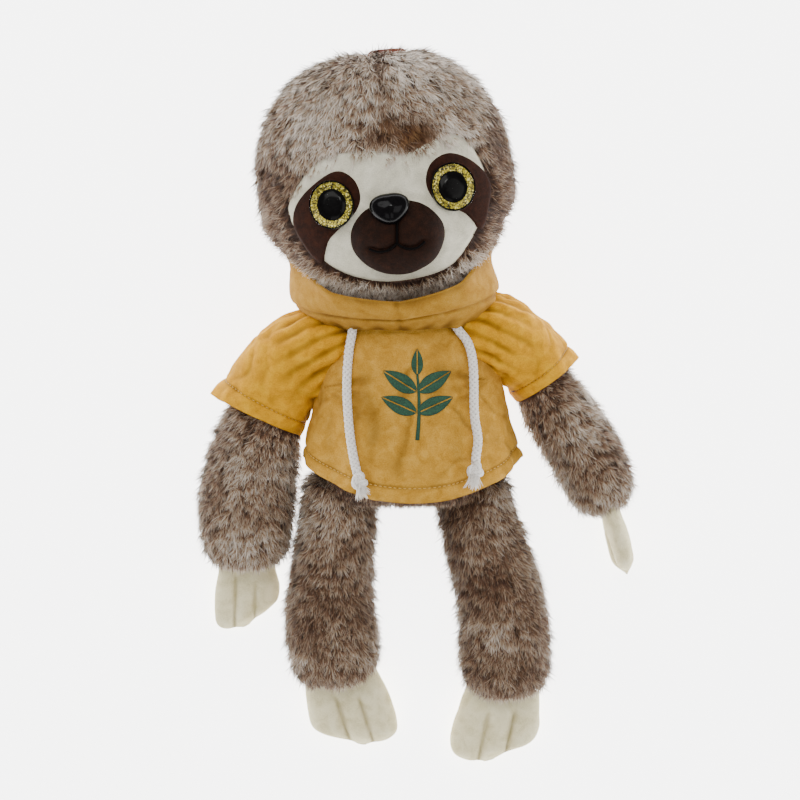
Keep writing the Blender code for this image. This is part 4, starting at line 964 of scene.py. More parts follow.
def make_top_body():
    """The top's body: shallow swells, drag lines from the shoulders, crinkles and a sewn hem."""
    down, turn = np.meshgrid(np.linspace(0, 1, 110), turns_round(340), indexing="ij")
    rows = top_surface(down, turn)
    x, y = rows[..., 0], rows[..., 1]
    front = np.sin(turn)
    raises = 0.0017 * noise_at(rows * (1.0, 0.40, 1.0), 0.013, 3.0) * smooth_step(0.05, 0.4, down)
    raises += 0.0008 * noise_at(rows * (0.5, 1.0, 1.0), 0.010, 9.0)
    for sense, root in ((1, (0.047, 0.022)), (-1, (-0.045, 0.018))):
        for k, tilt in enumerate((-0.15, 0.25, 0.62)):
            away = np.hypot(x - root[0], y - root[1])
            angle = np.arctan2(-(y - root[1]), -sense * (x - root[0]))
            crease = bell(angle, tilt, 0.16) * bell(away, 0.016, 0.015)
            raises -= 0.0026 * crease * (front > 0) * (1 - 0.2 * k)
    raises -= 0.0008 * crinkles(rows, (0.8, 1.2, 1.0), 0.026, 6.0) * smooth_step(0.02, 0.2, down)
    to_hem = 1 - down
    raises -= 0.0009 * bell(to_hem, TOP_HEM_SHARE, 0.012)
    raises += 0.0005 * smooth_step(0.075, 0.03, to_hem)
    raises *= smooth_step(-0.95, -0.6, front)
    return cloth_piece("top_body_cloth", rows, raises, bell(to_hem, TOP_HEM_SHARE, 0.010), TOP_VELOUR)


def make_sleeve(side):
    """A sleeve: gathered at the shoulder, pinched under the arm, drawn back at its sewn hem."""
    places = curve_through(SLEEVE_PLACES[side], 90)
    centres = places[:, :3]
    ways = unit(np.gradient(centres, axis=0))
    sides = unit(np.cross(ways, (0, 0, 1)))
    fronts = np.cross(sides, ways)
    around = 200
    turn = turns_round(around)
    rows = (
        centres[:, None, :]
        + (np.cos(turn)[None, :, None] * sides[:, None, :]) * places[:, 3][:, None, None]
        + (np.sin(turn)[None, :, None] * fronts[:, None, :]) * places[:, 4][:, None, None]
    )
    share = np.linspace(0, 1, len(places))[:, None] * np.ones(around)
    turns = np.ones(len(places))[:, None] * turn
    facing = np.clip(np.sin(turns) * np.sign(fronts[:, 2])[:, None], 0, 1)
    drawn = SLEEVE_HEM_SKEWS[side] * np.cos(turns) - SLEEVE_HEM_DRAW * facing
    rows = rows + ways[:, None, :] * (drawn * share**3)[..., None]
    raises = 0.0016 * noise_at(rows, 0.017, 5.0) + 0.0009 * noise_at(rows, 0.008, 2.0)
    gathers = np.cos(16 * turns + 2.0 * noise_at(rows, 0.03, 1.0))
    raises += 0.0009 * gathers * smooth_step(0.62, 0.22, share)
    raises -= 0.0007 * crinkles(rows, (1.0, 1.0, 1.0), 0.024, 8.0) * smooth_step(0.90, 0.75, share)
    inner = -1 if side == "left" else 1
    pinch = bell(np.cos(turns), -inner, 0.5)
    raises -= 0.0016 * pinch * (0.5 + 0.5 * np.cos(24 * share)) * smooth_step(0.95, 0.5, share)
    raises -= 0.0010 * bell(share, SLEEVE_SEAM_SHARE, 0.012)
    raises += 0.0006 * smooth_step(0.88, 0.93, share)
    seam = bell(share, SLEEVE_SEAM_SHARE, 0.010)
    return cloth_piece(f"sleeve_cloth_{side}", rows, raises, seam, SLEEVE_VELOUR)


def rim_places(corners, turn):
    """Places on a rim through four: left, front, right and back."""
    left, front, right, back = (np.array(c) for c in corners)
    middle = (left + front + right + back) / 4
    across, up = np.cos(turn)[:, None], np.sin(turn)[:, None]
    return (
        middle + (left - middle) * np.maximum(across, 0) + (right - middle) * np.maximum(-across, 0)
        + (front - middle) * np.maximum(up, 0) + (back - middle) * np.maximum(-up, 0)
    )


def make_collar(head_tree):
    """A band of doubled cloth: up outside, over the rolled rim and down inside."""
    around = 300
    turn = turns_round(around)
    low, high = rim_places(COLLAR_LOW, turn), rim_places(COLLAR_TOP, turn)
    out = unit(np.stack([np.cos(turn), np.full(around, -0.4), np.sin(turn)], 1))
    rise = np.linalg.norm(high - low, axis=1)[:, None]
    up = (high - low) / rise
    half = COLLAR_THICKNESS / 2

    def wall_rows(wanted, gap, outside):
        for share in wanted:
            belly = COLLAR_BELLY_SHARE * rise * math.sin(math.pi * max(share, 0.0))
            yield low + (high - low) * share + out * (belly + gap), share, outside

    band = list(wall_rows(np.linspace(-0.08, 1.0, 34), COLLAR_THICKNESS, 1.0))
    for angle in np.linspace(0, np.pi, 9)[1:-1]:
        rim = high + out * half * (1 + math.cos(angle)) + up * half * math.sin(angle)
        band.append((rim, 1.0, 0.5 + 0.5 * math.cos(angle)))
    band += wall_rows(np.linspace(1.0, -0.08, 16), 0.0, 0.0)
    rows = np.array([row for row, _, _ in band])
    shares, outer = (np.array([step[k] for step in band])[:, None] for k in (1, 2))
    turns = np.ones((len(rows), 1)) * turn
    raises = 0.0009 * noise_at(rows, 0.014, 4.0)
    raises -= 0.0017 * bell(shares - 0.42, 0.06 * np.sin(2 * turns), 0.055)
    raises -= 0.0010 * bell(turns - np.pi / 2, 0.03, 0.014)
    raises += 0.0006 * np.cos(22 * turns + 3 * shares) * smooth_step(0.35, 0.0, shares)
    raises += 0.0014 * np.sin(np.pi * np.clip(shares, 0, 1)) ** 0.7
    raises *= outer
    rows = rows + out[None, :, :] * raises[..., None]
    # Painted shade: darker down in the collar's dents, and a base shade over its whole outer side, under
    # the chin
    fold = np.clip((0.0016 - raises) / 0.0022, 0.40, 1) * 0.8 * outer
    hug = smooth_step(0.45, 1.0, shares) * smooth_step(0.55, 0.95, np.abs(np.cos(turns)))
    for r in range(len(rows)):
        for c in range(around):
            if hug[r, c] > 0:
                near, way, _, _ = head_tree.find_nearest(Vector(rows[r, c]))
                close = near + way * (COLLAR_INNER_GAP + COLLAR_THICKNESS * outer[r, 0])
                rows[r, c] += (np.array(close) - rows[r, c]) * hug[r, c]
    for r in range(len(rows)):
        wanted = 0.0006 - 0.0002 * outer[r, 0]
        for c in range(around):
            place = Vector(rows[r, c])
            near, way, _, distance = head_tree.find_nearest(place)
            if (place - near).dot(way) < 0 or distance < wanted:
                rows[r, c] = near + way * wanted
    rows = above_floor(rows)
    closed, painted_fold_shade = np.concatenate([rows, rows[:1]]), np.concatenate([fold, fold[:1]])
    made = tube("collar_band", closed, TOP_VELOUR, layers={"fold": painted_fold_shade})
    welded(made)
    return made, rows


# Stitches along a hem, by nodes
def new_tree(name, **inputs):
    """An empty node tree with named inputs, whose first is the geometry that it works on."""
    tree = bpy.data.node_groups.new(name, "GeometryNodeTree")
    tree.is_modifier = True
    for title, kind in inputs.items():
        tree.interface.new_socket(title, in_out="INPUT", socket_type="NodeSocket" + kind)
    tree.interface.new_socket("Made", in_out="OUTPUT", socket_type="NodeSocketGeometry")
    return tree, add(tree, "NodeGroupInput").outputs


def stitch_tree():
    tree, given = new_tree(
        "hem_stitches", Seam="Geometry", Stitch="Object", Stitches="Int", Thread="Material"
    )
    spaced = add(tree, "GeometryNodeResampleCurve", {"Curve": given["Seam"], "Count": given["Stitches"]})
    tangent = add(tree, "GeometryNodeInputTangent").outputs[0]
    turned = add(tree, "FunctionNodeAlignRotationToVector", {"Vector": tangent}, axis="X")
    shape = add(tree, "GeometryNodeObjectInfo", {"Object": given["Stitch"]}).outputs["Geometry"]
    sewn = add(
        tree, "GeometryNodeInstanceOnPoints",
        {"Points": spaced.outputs[0], "Instance": shape, "Rotation": turned.outputs[0]},
    )
    real = add(tree, "GeometryNodeRealizeInstances", {0: sewn.outputs[0]})
    done = add(tree, "GeometryNodeSetMaterial", {"Geometry": real.outputs[0], "Material": given["Thread"]})
    add(tree, "NodeGroupOutput", {0: done.outputs[0]})
    return tree


def use_tree(made, tree, values):
    """Puts a node tree on an object, each input set by its socket's identifier."""
    step = made.modifiers.new(tree.name, "NODES")
    step.node_group = tree
    for socket in tree.interface.items_tree:
        if socket.name in values:
            step[socket.identifier] = values[socket.name]


def make_stitch_row(name, line, stitches, tree):
    """A row of stitches along a line of places, each a small rounded bar."""
    rows = rings_along(
        [(STITCH_LENGTH * (s - 0.5), 0, 0) for s in np.linspace(0, 1, 5)],
        lambda s, a: np.full(len(a), STITCH_RADIUS * math.sqrt(max(1 - (2 * s - 1) ** 2, 0.05))), 6,
    )
    stitch = tube("stitch", rows, HEM_THREAD, (True, True))
    curve = bpy.data.curves.new(name, "CURVE")
    curve.dimensions = "3D"
    spline = curve.splines.new("POLY")
    spline.points.add(len(line) - 1)
    for knot, place in zip(spline.points, line):
        knot.co = (*place, 1.0)
    seam = in_scene(name + "_seam", curve)
    use_tree(seam, tree, {"Stitch": stitch, "Stitches": stitches, "Thread": HEM_THREAD})
    mesh = worked_out(seam)
    mesh.name = name
    mesh.shade_smooth()
    for used in (seam, stitch):
        bpy.data.objects.remove(used)
    return in_scene(name, mesh)


# Print: leaves and a stalk that lie on the chest
def laid_on(chest, points):
    laid = []
    for x, y in points:
        hit, _, _, _ = chest.ray_cast(Vector((x, y, 0.2)), Vector((0, 0, -1)))
        laid.append((x, y, hit.z + PRINT_LIFT))
    return laid


def make_print(chest):
    parts = []
    rows, columns = 26, 6
    for x, y, way_deg, long_share in LEAF_PLACES_SHARES:
        length = PRINT_HALF_HEIGHT * long_share
        half = length * LEAF_FAT_SHARE * 0.62
        way = math.radians(way_deg)
        base = (PRINT_PLACE[0] + x * PRINT_HALF_WIDTH, PRINT_PLACE[1] + y * PRINT_HALF_HEIGHT)
        for part in (-1, 1):
            points = []
            for r in range(rows):
                u = r / (rows - 1)
                wide = half * max(math.sin(math.pi * u**0.8), 0.0) ** 0.8
                vein = min(0.00035, wide * 0.5)
                for c in range(columns):
                    v = part * (vein + (wide - vein) * c / (columns - 1))
                    points.append(
                        (base[0] + u * length * math.cos(way) - v * math.sin(way),
                         base[1] + u * length * math.sin(way) + v * math.cos(way))
                    )
            parts.append(piece("leaf", laid_on(chest, points), grid_faces(rows, columns), INK))
    points = []
    for r in range(40):
        u = r / 39
        wide = 0.0011 * (1 - 0.45 * u)
        bend = 0.0010 * math.sin(math.pi * u)
        y = PRINT_PLACE[1] + PRINT_HALF_HEIGHT * (-1.0 + 1.45 * u)
        points += [(PRINT_PLACE[0] + bend - wide, y), (PRINT_PLACE[0] + bend + wide, y)]
    parts.append(piece("stalk", laid_on(chest, points), grid_faces(40, 2), INK))
    return walled(joined("leaf_sprig_print", parts), PRINT_LIFT * 1.6, 0.0)


# Face, in the head's own places until it is put on the head
def face_sheet(name, outline, form, raise_at, finish, rows_count=26, around=150):
    """A patch within an outline, laid over the head's form; raise_at gives its height."""
    edge = curve_through(outline, around, closed=True)
    middle = edge.mean(axis=0)
    rows = []
    for share in np.linspace(1.0, 0.02, rows_count):
        row = []
        for x, y in middle + (edge - middle) * share:
            hit, way, _, _ = form.ray_cast(Vector((x, y, 0.2)), Vector((0, 0, -1)))
            row.append(tuple(hit + way * raise_at(1 - share)))
        rows.append(row)
    made = tube(name, rows, finish, (False, True))
    made.data.transform(HEAD)
    return made


def panel_height(inward):
    return -0.0044 + 0.0046 * float(smooth_step(0.0, 0.10, inward))


def patch_height(inward):
    return -0.0006 + (PATCH_THICKNESS + 0.0009) * float(smooth_step(0.0, 0.10, inward))


def plane_of(node):
    """The middle and facing of a flat CAD node."""
    places = places_of(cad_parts[node])
    middle = places.mean(axis=0)
    way = np.linalg.svd(places - middle, full_matrices=False)[2][2]
    return Vector(middle), Vector(way if way[2] > 0 else -way)


def make_eye(side):
    middle, way = plane_of("eye_glitter_" + side)
    up = HEAD.to_3x3() @ Vector((0, 1, 0))
    up = (up - way * up.dot(way)).normalized()
    turn = Matrix((up.cross(way), up * EYE_HEIGHT_SHARE, way)).transposed().to_4x4()
    seat = Matrix.Translation(middle) @ turn
    angles = turns_round(96)

    def rings(profile):
        return [
            [tuple(seat @ Vector((r * math.cos(a), r * math.sin(a), z))) for a in angles]
            for r, z in profile
        ]

    rim, pupil = EYE_RADIUS, PUPIL_RADIUS
    cup = tube(
        "eye_cup_moulded_" + side,
        rings([
            (0.0022, -0.0150), (0.0022, -0.0026), (rim * 0.9, -0.0024), (rim, -0.0018), (rim, 0.0003),
            (rim * 0.995, 0.0006), (rim * 0.96, 0.0006), (rim * 0.94, 0.0001), (rim * 0.93, -0.0002),
            (pupil * 1.02, -0.0010), (pupil, -0.0002), (pupil * 0.97, 0.0002), (pupil * 0.5, 0.0003),
            (0.0002, 0.0003),
        ]),
        BLACK_PLASTIC, (True, True),
    )
    film = []
    for share in np.linspace(0, 1, 10):
        radius = pupil * 1.01 + (rim * 0.93 - pupil * 1.01) * share
        film.append((radius, -0.0007 + 0.0008 * share**1.4))
    glitter = tube("eye_glitter_film_" + side, rings(film), GLITTER)
    dome = [(rim * 0.985, 0.0005)]
    for angle in np.linspace(0, 0.499 * np.pi, 22):
        dome.append((rim * 0.985 * math.cos(angle), 0.0010 + EYE_DOME_HEIGHT * math.sin(angle)))
    lens = tube("eye_dome_acrylic_" + side, rings(dome), ACRYLIC, (False, True))
    return cup, glitter, lens


MUZZLE_TILT = Matrix.Rotation(math.radians(MUZZLE_TILT_DEG), 3, "Z")


def ball_rings(levels, around):
    """Rings of a ball of radius 1 at the given angles from its +Z end."""
    angles = turns_round(around)
    for angle in levels:
        x, y = math.sin(angle) * np.cos(angles), math.sin(angle) * np.sin(angles)
        yield x, y, np.full(around, math.cos(angle))


def make_muzzle():
    """The stuffed muzzle, dented along the mouth and under the nose."""
    line = np.concatenate([curve_through(MOUTH_SMILE_SHARES, 60), curve_through(MOUTH_GROOVE_SHARES, 30)])
    rows = []
    for x, y, z in ball_rings(np.linspace(1.0, 0.004, 80) * math.radians(118), 160):
        near = np.min(np.hypot(x[:, None] - line[:, 0], y[:, None] - line[:, 1]), axis=1)
        dent = bell(near, 0, 0.055) * 0.0013 + bell(near, 0, 0.16) * 0.0009
        dent = dent * smooth_step(0.1, 0.4, z)
        ball = np.stack([x, y, z], 1)
        flat = ball * MUZZLE_HALVES
        flat = flat + ball * (0.0005 * noise_at(flat, 0.011, 7.0) - dent)[:, None]
        rows.append([tuple(HEAD @ (MUZZLE_TILT @ Vector(p) + Vector(MUZZLE_PLACE))) for p in flat])
    return tube("muzzle_velour", rows, MUZZLE_VELOUR, (True, True))


def muzzle_place(x_share, y_share, lift):
    flat = max(1 - x_share**2 - y_share**2, 0.0)
    across = MUZZLE_TILT @ Vector((x_share * MUZZLE_HALVES[0], y_share * MUZZLE_HALVES[1], 0))
    height = MUZZLE_PLACE[2] + MUZZLE_HALVES[2] * math.sqrt(flat) + lift
    return HEAD @ Vector((MUZZLE_PLACE[0] + across.x, MUZZLE_PLACE[1] + across.y, height))


def make_mouth():
    parts = []
    for shares in (MOUTH_SMILE_SHARES, MOUTH_GROOVE_SHARES):
        line = [tuple(muzzle_place(x, y, -0.0009)) for x, y in curve_through(shares, 110)]
        rows = rings_along(
            line, lambda s, a: MOUTH_THREAD_RADIUS * (1.15 + 0.12 * np.cos(2 * a + 260 * s)), 12
        )
        parts.append(tube("stitch_line", rows, MOUTH_THREAD, (True, True)))
    return joined("mouth_stitching", parts)


def make_nose():
    """A moulded nose, broad at the top, with two shallow nostrils."""
    rows = []
    for x, y, z in ball_rings(np.linspace(0.98, 0.006, 50) * np.pi, 96):
        wide = 1.0 + 0.16 * y - 0.10 * np.clip(-y, 0, 1) ** 2
        tall = np.where(y > 0, 0.90 + 0.10 * np.abs(x), 1.05)
        dent = sum(bell(x, k, 0.22) * bell(y, 0.30, 0.20) for k in (-0.40, 0.40))
        cleft = bell(x, 0, 0.08) * smooth_step(0.1, -0.5, y)
        ball = np.stack([x, y, z], 1)
        flat = np.stack([x * wide, y * tall, z], 1) * NOSE_HALVES
        flat = flat - ball * ((0.0003 * dent + 0.0002 * cleft) * (z > 0))[:, None]
        rows.append([tuple(HEAD @ (Vector(p) + Vector(NOSE_PLACE))) for p in flat])
    return tube("nose_moulded", rows, BLACK_PLASTIC, (True, True))


# Hands and feet
def make_mitt(name, hinge, size, grooves, slant, seed):
    """A flat stuffed mitt: sewn grooves part it into claws, rounded at their tips."""
    place, out, axis = (np.array(v, float) for v in hinge)
    out = unit(out)
    wide = unit(axis - out * np.dot(axis, out))
    thick = np.cross(wide, out)
    half_width, half_thick, length = size
    shares = np.stack([MITT_LENGTH_SHARES, MITT_WIDTH_SHARES, MITT_THICKNESS_SHARES], 1)
    profile = curve_through(shares, 160)
    around = 120
    turn = turns_round(around)
    u, v = (np.sign(wave) * np.abs(wave) ** 0.92 for wave in (np.cos(turn), np.sin(turn)))
    rows, painted_fold_shade = [], []
    for share in np.linspace(0.0, 1.0, 80):
        end = math.sqrt(1 - 0.985 * float(smooth_step(0.72, 1.0, share)) ** 2)
        w = np.interp(share, profile[:, 0], profile[:, 1]) * half_width * end**0.8
        t = np.interp(share, profile[:, 0], profile[:, 2]) * half_thick * end
        across = u * w
        cut, pad = np.zeros(around), np.zeros(around)
        for groove, start in grooves:
            away = across / half_width - groove
            cut += smooth_step(start, start + 0.2, share) * bell(away, 0, 0.040)
            pad += smooth_step(start, start + 0.25, share) * bell(away, 0, 0.14)
        pad = np.clip(pad, 0, 1)
        level = t * v * (1 - 0.34 * np.clip(cut, 0, 1) - 0.16 * pad)
        notch = bell(share, 1.0, 0.10) * pad * 0.014 * length
        notch = notch + slant * length * share**2 * across / half_width
        centre = place + out * (share * length)
        rows.append(centre + across[:, None] * wide + level[:, None] * thick - notch[:, None] * out)
        # Painted shade: darker down in the grooves between the claws and a little on the pads
        painted_fold_shade.append(np.clip(cut * 0.55 + pad * 0.10, 0, 1))
    rows, painted_fold_shade = np.array(rows), np.array(painted_fold_shade)
    rows = rows + ring_ways(rows) * (0.0006 * noise_at(rows, 0.010, seed))[..., None]
    return tube(name, above_floor(rows), CLAW_VELOUR, (True, True), {"fold": painted_fold_shade})


# Ribbon across the crown
def make_crown_ribbon(head_tree):
    """A strip sewn down at both ends, proud of the fur between them and tilted to the face."""
    low, high = (np.array(v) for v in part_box("crown_tab"))
    middle = (low[2] + high[2]) / 2 + RIBBON_FORWARD
    low[2], high[2] = middle - RIBBON_WIDTH / 2, middle + RIBBON_WIDTH / 2
    wide, deep = 60, 22
    places = []
    for z_share in np.linspace(0, 1, deep):
        for x_share in np.linspace(0, 1, wide):
            x, z = low[0] + (high[0] - low[0]) * x_share, low[2] + (high[2] - low[2]) * z_share
            hit, _, _, _ = head_tree.ray_cast(Vector((x, 0.3, low[2])), Vector((0, -1, 0)))
            lift = RIBBON_LIFT * (1 - abs(2 * x_share - 1) ** 12)
            places.append((x, hit.y + lift - RIBBON_SLOPE * (z - low[2]), z))
    return walled(piece("crown_ribbon", places, grid_faces(deep, wide), RIBBON), RIBBON_THICKNESS, 0.0)


# Fur, by nodes: strands spread over a backing, combed, clumped and bent
def make_strand():
    """One strand, a unit long and a unit wide, bent over towards its own +X."""
    bends = ((0.0, 0.0, 1.0, 0.0), (0.10, 0.55, 0.85, 0.55), (0.42, 0.95, 0.0, 1.0))
    places, along = [], []
    for x, z, width, share in bends:
        for part in (-1, 1) if width else (0,):
            places.append((x, part * width / 2, z))
            along.append(share)
    mesh = bpy.data.meshes.new("strand")
    mesh.from_pydata(places, [], [(0, 1, 3, 2), (2, 3, 4)])
    set_layer(mesh, "along", along)
    mesh.shade_smooth()
    return in_scene("strand", mesh)


def fur_tree():
    """Spreads strands over a backing that keeps how thick, long and light its fur is, and its lie."""
    tree, given = new_tree(
        "fur_strands", Backing="Geometry", Strand="Object", Density="Float", Length="Float",
        Width="Float", Clump="Float", Floor="Float", Seed="Int", Fur="Material",
    )
    named = {
        name: add(tree, "GeometryNodeInputNamedAttribute", {"Name": name}, data_type=kind).outputs[0]
        for name, kind in (
            ("thick", "FLOAT"), ("comb", "FLOAT_VECTOR"), ("long", "FLOAT"), ("lift", "FLOAT"),
            ("light", "FLOAT"),
        )
    }

    def maths(operation, *values):
        return add(tree, "ShaderNodeMath", dict(enumerate(values)), operation=operation).outputs[0]

    def vectors(operation, *values):
        made = add(tree, "ShaderNodeVectorMath", dict(enumerate(values)), operation=operation)
        return made.outputs[1] if operation in ("LENGTH", "DOT_PRODUCT") else made.outputs[0]

    def scaled(vector, factor):
        return add(tree, "ShaderNodeVectorMath", {0: vector, 3: factor}, operation="SCALE").outputs[0]

    def total(*parts):
        whole = parts[0]
        for part in parts[1:]:
            whole = vectors("ADD", whole, part)
        return whole

    def chance(low, high, seed):
        """A random number for each strand."""
        made = add(tree, "FunctionNodeRandomValue", {2: low, 3: high, 8: seed}, data_type="FLOAT")
        return made.outputs[1]

    density = maths("MULTIPLY", given["Density"], named["thick"])
    spread = add(
        tree, "GeometryNodeDistributePointsOnFaces",
        {"Mesh": given["Backing"], "Density": density, "Seed": given["Seed"]},
    )
    place = add(tree, "GeometryNodeInputPosition").outputs[0]
    way = spread.outputs["Normal"]
    wavy = add(tree, "ShaderNodeTexNoise", {"Vector": place, "Scale": 230.0, "Detail": 1.0}).outputs[1]
    wavy = vectors("SUBTRACT", wavy, (0.5, 0.5, 0.5))
    scale = maths("DIVIDE", 1.0, given["Clump"])
    clump = add(
        tree, "ShaderNodeTexVoronoi",
        {"Vector": vectors("ADD", place, scaled(wavy, 0.008)), "Scale": scale},
    )
    inward = vectors("SUBTRACT", clump.outputs["Position"], place)
    small = add(
        tree, "FunctionNodeRandomValue", {0: (-1, -1, -1), 1: (1, 1, 1), 8: 3}, data_type="FLOAT_VECTOR"
    ).outputs[0]
    lean = total(
        scaled(way, named["lift"]), named["comb"], scaled(scaled(inward, scale), 0.62),
        scaled(wavy, 1.1), scaled(small, 0.20),
    )
    rises = vectors("DOT_PRODUCT", lean, way)
    short = maths("MAXIMUM", maths("SUBTRACT", 0.22, rises), 0.0)
    lean = vectors("NORMALIZE", vectors("ADD", lean, scaled(way, short)))
    bend = total(named["comb"], scaled(wavy, 1.2), scaled(small, 0.5))
    turned = add(tree, "FunctionNodeAlignRotationToVector", {"Vector": lean}, axis="Z")
    turned = add(
        tree, "FunctionNodeAlignRotationToVector", {"Rotation": turned.outputs[0], "Vector": bend},
        axis="X", pivot_axis="Z",
    )
    uneven = chance(0.68, 1.12, 5)
    edge = maths("MINIMUM", clump.outputs["Distance"], 1.0)
    size = maths("MULTIPLY", maths("MULTIPLY", given["Length"], named["long"]), uneven)
    size = maths("MULTIPLY", size, maths("SUBTRACT", 1.12, maths("MULTIPLY", edge, 0.38)))
    girth = maths("MULTIPLY", given["Width"], maths("ADD", maths("MULTIPLY", uneven, 0.6), 0.45))
    scales = add(tree, "ShaderNodeCombineXYZ", {0: size, 1: girth, 2: size}).outputs[0]
    blotch = add(tree, "ShaderNodeTexNoise", {"Vector": place, "Scale": 34.0, "Detail": 3.0}).outputs[0]
    # Random tone from blotches and each strand, plus the backing's light, which holds painted light and
    # shade
    tone = maths("ADD", maths("MULTIPLY", maths("SUBTRACT", blotch, 0.5), 0.85), chance(-0.16, 0.16, 9))
    # Painted shade: strands at the edges of clumps, along the partings, are drawn darker
    tone = maths("SUBTRACT", tone, maths("MULTIPLY", maths("SUBTRACT", edge, 0.35), 0.20))
    tone = maths("ADD", tone, named["light"])
    kept = spread.outputs[0]
    for name, kind, value in (("skin_way", "FLOAT_VECTOR", way), ("tone", "FLOAT", tone)):
        kept = add(
            tree, "GeometryNodeStoreNamedAttribute", {"Geometry": kept, "Name": name, "Value": value},
            data_type=kind, domain="POINT",
        ).outputs[0]
    strand = add(tree, "GeometryNodeObjectInfo", {"Object": given["Strand"]}).outputs["Geometry"]
    stood = add(
        tree, "GeometryNodeInstanceOnPoints",
        {"Points": kept, "Instance": strand, "Rotation": turned.outputs[0], "Scale": scales},
    )
    real = add(tree, "GeometryNodeRealizeInstances", {0: stood.outputs[0]}).outputs[0]
    corner = add(tree, "GeometryNodeInputPosition").outputs[0]
    split = add(tree, "ShaderNodeSeparateXYZ", {0: corner}).outputs
    height = maths("MAXIMUM", split[2], given["Floor"])
    above = add(tree, "ShaderNodeCombineXYZ", {0: split[0], 1: split[1], 2: height}).outputs[0]
    rested = add(tree, "GeometryNodeSetPosition", {"Geometry": real, "Position": above}).outputs[0]
    done = add(tree, "GeometryNodeSetMaterial", {"Geometry": rested, "Material": given["Fur"]})
    add(tree, "NodeGroupOutput", {0: done.outputs[0]})
    return tree


def near_cloth(places, ways, cloths, free, reach):
    """How bare each place is under the cloths: 0 covered or touching, 1 well clear."""
    clear = np.ones(len(places))
    for i, (place, way) in enumerate(zip(places, ways)):
        for cloth in cloths:
            hit = cloth.ray_cast(Vector(place), Vector(way), reach)[0]
            near = cloth.find_nearest(Vector(place), reach)
            distance = near[3] if near[0] is not None else reach
            if hit is not None:
                distance = 0.0
            clear[i] = min(clear[i], float(smooth_step(free, reach, distance)))
    return clear


def grow_fur(name, backing, seed, length, thick, density=STRANDS_PER_M2):
    """The fur of one backing as its own plain mesh."""
    pelt = in_scene(name, backing.data.copy())
    set_layer(pelt.data, "thick", thick)
    use_tree(
        pelt, FUR_TREE,
        {"Strand": STRAND, "Density": density, "Length": length, "Width": STRAND_WIDTH,
         "Clump": CLUMP_WIDTH, "Floor": FLOOR_CLEARANCE, "Seed": seed, "Fur": FUR},
    )
    settled(pelt)
    for layer in ("thick", "comb", "long", "lift", "light"):
        if layer in pelt.data.attributes:
            pelt.data.attributes.remove(pelt.data.attributes[layer])
    return pelt


def inside_outline(points, outline):
    """Whether each place lies in the closed outline, and how far from its edge it is."""
    edge = curve_through(outline, 240, closed=True)
    after = np.roll(edge, -1, axis=0)
    x, y = points[:, :1], points[:, 1:2]
    crosses = (edge[:, 1] > y) != (after[:, 1] > y)
    rise = np.where(after[:, 1] == edge[:, 1], 1e-12, after[:, 1] - edge[:, 1])
    left_of = x < (after[:, 0] - edge[:, 0]) * (y - edge[:, 1]) / rise + edge[:, 0]
    within = (crosses & left_of).sum(axis=1) % 2 == 1
    return within, np.min(np.hypot(x - edge[:, 0], y - edge[:, 1]), axis=1)


def over_skin(vectors, ways):
    """Vectors laid flat on the skin, all of one length."""
    return unit(vectors - ways * (vectors * ways).sum(axis=1, keepdims=True))


